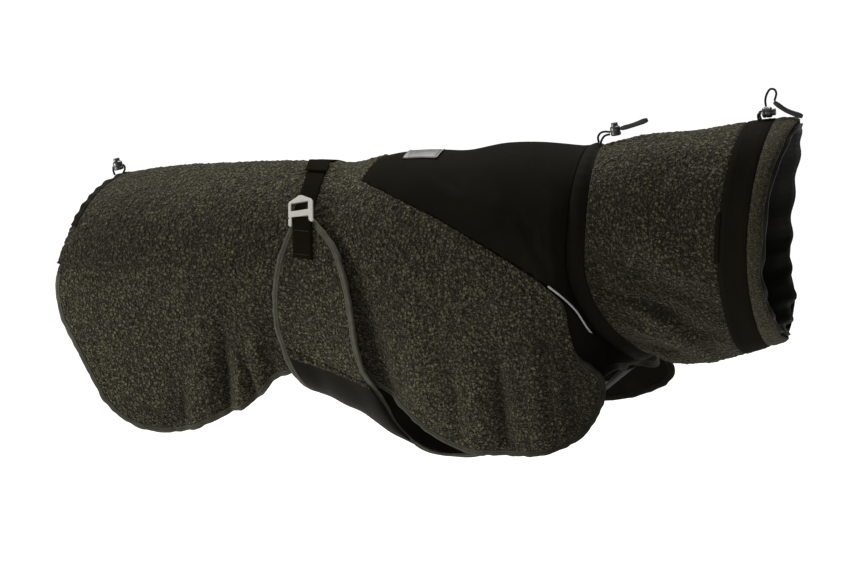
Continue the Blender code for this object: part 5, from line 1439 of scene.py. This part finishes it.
# The wings' pile ends below the solids' seam: the line from its rear to its front end, seen from the side.
PILE_END_X, PILE_END_Z = (-7 * MM, 92 * MM), (-186 * MM, -211.5 * MM)
PILE_OVER_BELLY = 1.2 * MM
WING_TAPE_WIDTH, TURNED_IN = 4.9 * MM, 2.6 * MM


def wing_out(across, down):
    return WING_OUT + FRONT_LIFT * across * across * np.minimum(2 * down, 1.0)


def wing_grid(side):
    rear, front = [sampled(WING[:, end], WING_ROWS) for end in (0, 1)]
    share = np.linspace(0, 1, WING_COLUMNS + 1)[:, None, None]
    return BODY.locate(rear[None] * (1 - share) + front[None] * share, side)


def belly_grid():
    sections = []
    for number, (x, z, edge_x, edge_z, wrap) in enumerate(BELLY_FLAP):
        place = BODY.locate(np.array([edge_x, edge_z - 1.1]) * MM)
        edge = BODY.skin(place, wing_out(number / (len(BELLY_FLAP) - 1), 1.0))
        sections.append((x * MM, z * MM, *edge, wrap * MM))
    sections += [row * MM * (1, 1, 1, -1, 1, 1) for row in BELLY_STRIP]
    parts = sampled(sections, BELLY_STEPS).T
    middle_x, middle_z, edge_x, edge_y, edge_z, wrap = [part[:, None] for part in parts]
    share = np.linspace(-1, 1, 2 * BELLY_COLUMNS + 1)[None, :]
    wrap = np.radians(wrap / MM)
    angle = np.abs(share) * wrap
    y = -np.sign(share) * edge_y * (np.sin(angle) / np.sin(wrap)) ** BELLY_ROUND
    part = np.clip((np.cos(angle) - np.cos(wrap)) / (1 - np.cos(wrap)), 0, 1)
    x = middle_x + (edge_x - middle_x) * share * share
    return np.stack([x, y, middle_z + (edge_z - middle_z) * (1 - part**BELLY_ROUND)], axis=-1)


def paint_pile(made):
    """Gives the pile's material to the belly's outer faces above the line where the wings' pile ends."""
    polygons = made.data.polygons
    centres, slots = np.empty(3 * len(polygons), np.float32), np.empty(len(polygons), np.int32)
    polygons.foreach_get("center", centres)
    polygons.foreach_get("material_index", slots)
    x, _, z = centres.reshape(-1, 3).T
    line = np.interp(x, PILE_END_X, PILE_END_Z)
    slots[(slots == 0) & (z > line - 0.6 * MM) & (x < PILE_END_X[1])] = 1
    polygons.foreach_set("material_index", slots)


def build_belly():
    grid = belly_grid()
    normal = outward_of(grid, np.array([0.12, 0.0, -0.1]))
    share = np.abs(np.linspace(-1, 1, grid.shape[1]))[None, :]
    soft = step_up((1 - share) * 6) * step_up(np.minimum(np.arange(len(grid)), 12) / 12)[:, None]
    # Soft pull lines run down from the wings and along the strip.
    pull = np.sin(grid[..., 0] / (7.5 * MM) + 2.5 * soft_noise(grid, 35 * MM, 71)) * step_up(share * 1.4)
    relief = soft * (0.9 * MM * pull + 1.6 * MM * swing(grid, 24 * MM, 72))
    inner = grid + normal * relief[..., None]
    above = grid[..., 2] - np.interp(grid[..., 0], PILE_END_X, PILE_END_Z) + 1.6 * MM * soft_noise(grid, 5 * MM, 73)
    piled = step_up(above / (1.6 * MM)) * (grid[..., 0] < PILE_END_X[1])
    curl = curl_height(grid, 5.6 * MM)
    outer = inner + normal * (WOVEN + piled * (PILE_OVER_BELLY + 1.7 * MM * (curl - 0.42)))[..., None]
    surfaces, coarse = [BELLY_CLOTH, PILE_CLOTH, BELLY_LINING_LIT], BELLY_FINE // 2
    made = add_shell("belly_cloth", inner, outer, surfaces, False, coarse, None, curl * piled, grid[..., [0, 1]])
    paint_pile(made)
    dress(made, "woven", "belly_panel", flat=(0.36, 0.24), held="draped", area=0.0509)
    for name, side in SIDES:
        places = wing_grid(side)
        out = wing_out(np.linspace(0, 1, WING_COLUMNS + 1)[:, None], np.linspace(0, 1, WING_ROWS + 1)[None, :])
        low, high = BODY.skin(places, out), BODY.skin(places, out + PILE)
        relief, curl = pile_relief(high, np.concatenate([high[0], high[-1], high[:, 0]]), 1.7 * MM, 3.0 * MM)
        cover = high + unit(high - low) * np.minimum(relief, 1.1 * MM)[..., None]
        surfaces, coarse = [PILE_CLOTH, BACKING], WING_FINE // 2
        made = add_shell(f"wing_pile_{name}", low, cover, surfaces, False, coarse, None, curl, places)
        dress(made, "pile", f"wing_{name}", flat=(0.09, 0.16), held="draped", area=0.0109)
        add_wing_binding(name, side, {"belly": (grid, grid + normal * WOVEN), "wing": (low, high)})


def add_wing_binding(name, side, grids):
    """One tape down the belly's rear edge, round the wing and forward along the belly's strip."""
    toward, start = (-1, 0) if side > 0 else (1, BELLY_FINE)
    edge = BELLY_COLUMNS + toward * BELLY_COLUMNS
    steps = [("belly", 0, BELLY_COLUMNS + toward * n, 1, BELLY_COLUMNS + toward * n) for n in range(start, 65)]
    steps += [("wing", 0, j, 1, j) for j in range(WING_ROWS - WING_FINE, 0, -1)]
    steps += [("wing", i, 0, i, 1) for i in range(WING_COLUMNS + 1)]
    last = WING_COLUMNS
    steps += [("wing", last, j, last - 1, j) for j in range(1, WING_ROWS - WING_FINE // 2)]
    steps += [("belly", i, edge, i, edge - toward) for i in range(WRAP_START, BELLY_STEPS + 1 - BELLY_FINE)]
    low, high = [np.array([grids[kind][face][i, j] for kind, i, j, _, _ in steps]) for face in (0, 1)]
    inside = np.array([grids[kind][0][n, m] for kind, _, _, n, m in steps])
    low, high, inside = resampled(1.8 * MM, low, high, inside)
    # Along the belly's strip the tape is turned in, so that less of it shows.
    strip = step_up((low[:, 0] - PILE_END_X[1]) / (25 * MM))
    width = WING_TAPE_WIDTH + TUCK - strip * TURNED_IN
    sections = edge_sections(low, high, inside, width, WING_BINDING_OVER, 0.4, 13)
    dress(add_sweep(f"wing_tape_{name}", sections, BINDING_CLOTH), "binding", f"wing_binding_{name}")


build_belly()

# The strap, its buckles and tabs, and the patch.

STRAP_WIDTH, STRAP_TOP_X, STRAP_LEAN_END = 20.0 * MM, 0.5 * MM, 60.0 * MM
STRAP_LIFT_RUN, STRAP_LIFTS = 14.0, (0.8, 1.8, 2.4)
BUCKLE_X, BUCKLE_Z, BUCKLE_LEAN = 11.6, -40.0, math.radians(12)
TAB_ENDS, TAB_WIDTH = outline(14.0, -45.6, 19.6, -81.8), 22.2 * MM
TAB_LIFTS = (0.9, 0.4, 0, 0, 0, 0)
KEEPER_TOP, KEEPER_LOW, KEEPER_WIDTH = 7.0 * MM, 32.0 * MM, 24.0 * MM
PATCH_START, PATCH_END, PATCH_TOP, PATCH_LOW, PATCH_THICK = 102 * MM, 139 * MM, 3 * MM, 24 * MM, 0.8 * MM
STRIP_SPANS = 8
# The cast buckle seen from outside: its outline, a long leg in front and a short one behind, and its window.
BUCKLE_FRAME = table(
    2,
    *(-3.0, 17.0, 0.2, 17.0, 10.4, 11.6, 11.6, 9.8, 11.9, -9.6, 12.6, -11.6, 11.6, -13.4, 9.6, -13.4),
    *(8.0, -11.2, 7.2, -6.2, -10.8, -5.8, -10.8, -14.4, -11.6, -15.2, -13.2, -15.2, -14.0, -14.4),
    *(-14.0, -7.9, -12.8, -6.7, -14.1, -5.4, -14.1, 9.6, -13.0, 11.4),
)
BUCKLE_WINDOW = table(2, -11.6, 9.6, 7.1, 10.2, 7.1, 0.6, -11.8, 0.4)
BUCKLE_THICK, BUCKLE_CLEAR, BUCKLE_BEVEL = 2.8 * MM, 1.2 * MM, 0.75 * MM


def add_strip(name, node, girths, outs, centres, width, steps=4):
    """A webbing strip round the body, thicker at its two selvedges."""
    across = np.linspace(-1, 1, STRIP_SPANS + 1)
    fine = refined(girths, steps)
    at = np.linspace(0, 1, len(fine))
    outs, centres = [np.interp(at, np.linspace(0, 1, len(part)), part) for part in (outs, centres)]
    places = pairs(centres[None, :] + across[:, None] * width / 2, fine[None, :])
    bead = 0.18 * MM * bell((np.abs(across) - 0.86) / 0.1) - 0.35 * MM * np.abs(across) ** 14
    inner = BODY.skin(places, outs[None, :])
    outer = BODY.skin(places, outs[None, :] + (WEB + bead)[:, None])
    uvs = pairs((across * width / 2)[:, None], run_of(inner[0])[None, :])
    dress(add_shell(name, inner, outer, [WEBBING_CLOTH], uvs=uvs), "webbing", node)
    return outer, unit(outer - inner)


def strap_centre(girth):
    share = np.minimum(np.abs(girth) / STRAP_LEAN_END, 1.0)
    return STRAP_TOP_X + (BUCKLE_X * MM - STRAP_TOP_X) * share * (2 - share)


def build_strap():
    end, lift_start = [
        BODY.locate(np.array([BUCKLE_X, BUCKLE_Z + above]) * MM)[1] for above in (-2.5, STRAP_LIFT_RUN)
    ]
    side_girths = np.concatenate([np.linspace(0, lift_start, 9), np.linspace(lift_start, end, 4)[1:]])
    side_outs = [PILE + LAY] * 9 + [PILE + LAY + lift * MM for lift in STRAP_LIFTS]
    girths = np.concatenate([-side_girths[::-1], side_girths[1:]])
    add_strip("strap_web", "back_strap", girths, side_outs[::-1] + side_outs[1:], strap_centre(girths), STRAP_WIDTH)
    over = PILE + LAY + WEB + LAY
    girths = np.linspace(KEEPER_TOP, KEEPER_LOW, 6)
    strip = add_strip("keeper_web", "strap_keeper", girths, [over] * 6, strap_centre(girths), KEEPER_WIDTH, 6)
    box, ways = [framed(part, 1, 2) for part in strip]
    add_stitches("keeper_stitches", "webbing", box, ways, DARK_THREAD, 2.6 * MM, 1.9 * MM)
    for name, side in SIDES:
        build_buckle(name, side)
        build_tab(name, side)


def build_buckle(name, side):
    """A cast frame with a window for the strap, a bar and two legs that hook on the tab's loop."""
    spot = BODY.locate(np.array([BUCKLE_X, BUCKLE_Z]) * MM, side)
    up = Vector(BODY.outward(spot[0], BODY.turn(*spot)))
    middle = Vector(BODY.skin(spot, WING_OUT + PILE + BUCKLE_CLEAR))
    across = Vector((1, 0, 0))
    across = (across - across.dot(up) * up).normalized()
    climb = up.cross(across) * (1 if up.cross(across).z > 0 else -1)
    lean = math.cos(BUCKLE_LEAN), math.sin(BUCKLE_LEAN)
    across, climb = across * lean[0] + climb * lean[1], climb * lean[0] - across * lean[1]
    shape = bmesh.new()
    loops = []
    for rim in (BUCKLE_FRAME, BUCKLE_WINDOW):
        corners = [shape.verts.new(middle + (across * x + climb * y) * MM) for x, y in rim.tolist()]
        loops += [shape.edges.new((a, b)) for a, b in zip(corners, corners[1:] + corners[:1])]
    bmesh.ops.triangle_fill(shape, edges=loops, use_beauty=True)
    bmesh.ops.dissolve_limit(shape, angle_limit=0.02, verts=shape.verts[:], edges=shape.edges[:])
    raised = bmesh.ops.extrude_face_region(shape, geom=shape.faces[:])
    top = [item for item in raised["geom"] if isinstance(item, bmesh.types.BMVert)]
    bmesh.ops.translate(shape, verts=top, vec=up * BUCKLE_THICK)
    bmesh.ops.recalc_face_normals(shape, faces=shape.faces)
    sharp = [edge for edge in shape.edges if edge.calc_face_angle(0) > math.radians(18)]
    rounding = {"offset": BUCKLE_BEVEL, "segments": 3, "profile": 0.6, "affect": "EDGES", "clamp_overlap": True}
    bmesh.ops.bevel(shape, geom=sharp, **rounding)
    bmesh.ops.triangulate(shape, faces=shape.faces[:])
    mesh = bpy.data.meshes.new(f"buckle_{name}_cast")
    shape.to_mesh(mesh)
    shape.free()
    mesh.shade_smooth()
    mesh.set_sharp_from_angle(angle=math.radians(40))
    dress(link(f"buckle_{name}_cast", mesh, BUCKLE_METAL), "aluminium", f"buckle_{name}")


def build_tab(name, side):
    low = WING_OUT + PILE + WING_BINDING_OVER + LAY
    girths = np.linspace(*BODY.locate(TAB_ENDS)[:, 1], 6) * side
    centres = np.linspace(*TAB_ENDS[:, 0], 6)
    outs = [low + lift * MM for lift in TAB_LIFTS]
    outer, up = add_strip(f"tab_web_{name}", f"tab_{name}", girths, outs, centres, TAB_WIDTH, 6)
    for row in (-4, 10):
        line, ways = outer[1:-1, row], up[1:-1, row]
        add_stitches(f"tab_stitches_{name}_{row % 100}", "webbing", line, ways, THREAD, 2.2 * MM, 1.6 * MM)


def build_patch():
    """The blank reflective patch on the ridge, its two ends a little curled."""
    places = pairs(np.linspace(PATCH_START, PATCH_END, 31)[:, None], np.linspace(PATCH_TOP, PATCH_LOW, 19))
    ends = np.abs(np.linspace(-1, 1, 31))[:, None]
    low = WOVEN + LAY + 0.9 * MM * step_up((ends - 0.72) / 0.28) ** 2
    inner, outer = SHOULDERS.skin(places, low), SHOULDERS.skin(places, low + PATCH_THICK)
    made = add_shell("patch_film", inner, outer, [REFLECTIVE_FILM], False, 6, uvs=places)
    dress(made, "reflective", "back_patch")
    box, ways = [framed(part, 3, 1) for part in (outer, unit(outer - inner))]
    add_stitches("patch_stitches", "reflective", box, ways, DARK_THREAD, 2.6 * MM, 1.9 * MM)


build_strap()
build_patch()

# The stage and its light.

ROOM_LIGHT = 0.27
FLOOR_Z, FLOOR_RADIUS, FLOOR_SIDES, FLOOR_GLOW = -0.62, 12.0, 64, 0.95
# Where the floor's glow starts and is full, out from below the coat.
GLOW_START, GLOW_FULL = 0.4, 0.56
LIGHTS = (
    ("top", (0.0, 0.75, 1.6), (0.1, 0, 0), (1.6, 1.0), 66),
    ("key", (-1.9, -1.35, -0.28), (0.0, 0, -0.12), (0.7, 0.45), 52),
)


def make_floor_paint():
    """White paint. Away from the coat it glows, as a floor lit on its own does."""
    shade = Shade("floor", (0.8, 0.8, 0.8), 0.9, 0.1)
    away = shade.node("VectorMath", {0: shade.object}, "Value", operation="LENGTH")
    glow = shade.spread(away, GLOW_START, GLOW_FULL)
    shade.color(shade.mix(glow, (0.8, 0.8, 0.8), (0.3, 0.3, 0.3)))
    shade.feed(shade.skin["Emission Color"], shade.mix(glow, (0, 0, 0), (1, 1, 1)))
    shade.skin["Emission Strength"].default_value = FLOOR_GLOW
    return shade.made


def make_stage():
    """A round white floor, well below the coat."""
    mesh = bpy.data.meshes.new("floor")
    points = [(FLOOR_RADIUS * math.cos(a), FLOOR_RADIUS * math.sin(a), 0.0) for a in round_angles(FLOOR_SIDES)]
    mesh.from_pydata(points, [], [tuple(range(FLOOR_SIDES))])
    mesh.materials.append(make_floor_paint())
    floor = bpy.data.objects.new("floor", mesh)
    floor.location = (TARGET[0], TARGET[1], FLOOR_Z)
    bpy.context.scene.collection.objects.link(floor)


def make_light():
    world = bpy.data.worlds.new("studio")
    world.use_nodes = True
    tree = world.node_tree
    # The room's walls show white, and light the coat as softly as far walls do.
    seen, room = tree.nodes["Background"], tree.nodes.new("ShaderNodeBackground")
    for wall, strength in ((seen, 1.0), (room, ROOM_LIGHT)):
        wall.inputs["Color"].default_value = (1, 1, 1, 1)
        wall.inputs["Strength"].default_value = strength
    path, choice = tree.nodes.new("ShaderNodeLightPath"), tree.nodes.new("ShaderNodeMixShader")
    for number, output in enumerate((path.outputs["Is Camera Ray"], room.outputs[0], seen.outputs[0])):
        tree.links.new(output, choice.inputs[number])
    tree.links.new(choice.outputs[0], tree.nodes["World Output"].inputs["Surface"])
    bpy.context.scene.world = world
    bpy.context.scene.view_settings.view_transform = "Standard"
    for name, place, target, size, power in LIGHTS:
        data = bpy.data.lights.new(name, "AREA")
        data.shape = "RECTANGLE"
        data.size, data.size_y = size
        data.energy = power
        light = bpy.data.objects.new(name, data)
        light.location = place
        light.rotation_euler = (Vector(target) - Vector(place)).to_track_quat("-Z", "Y").to_euler()
        bpy.context.scene.collection.objects.link(light)


make_stage()
make_light()
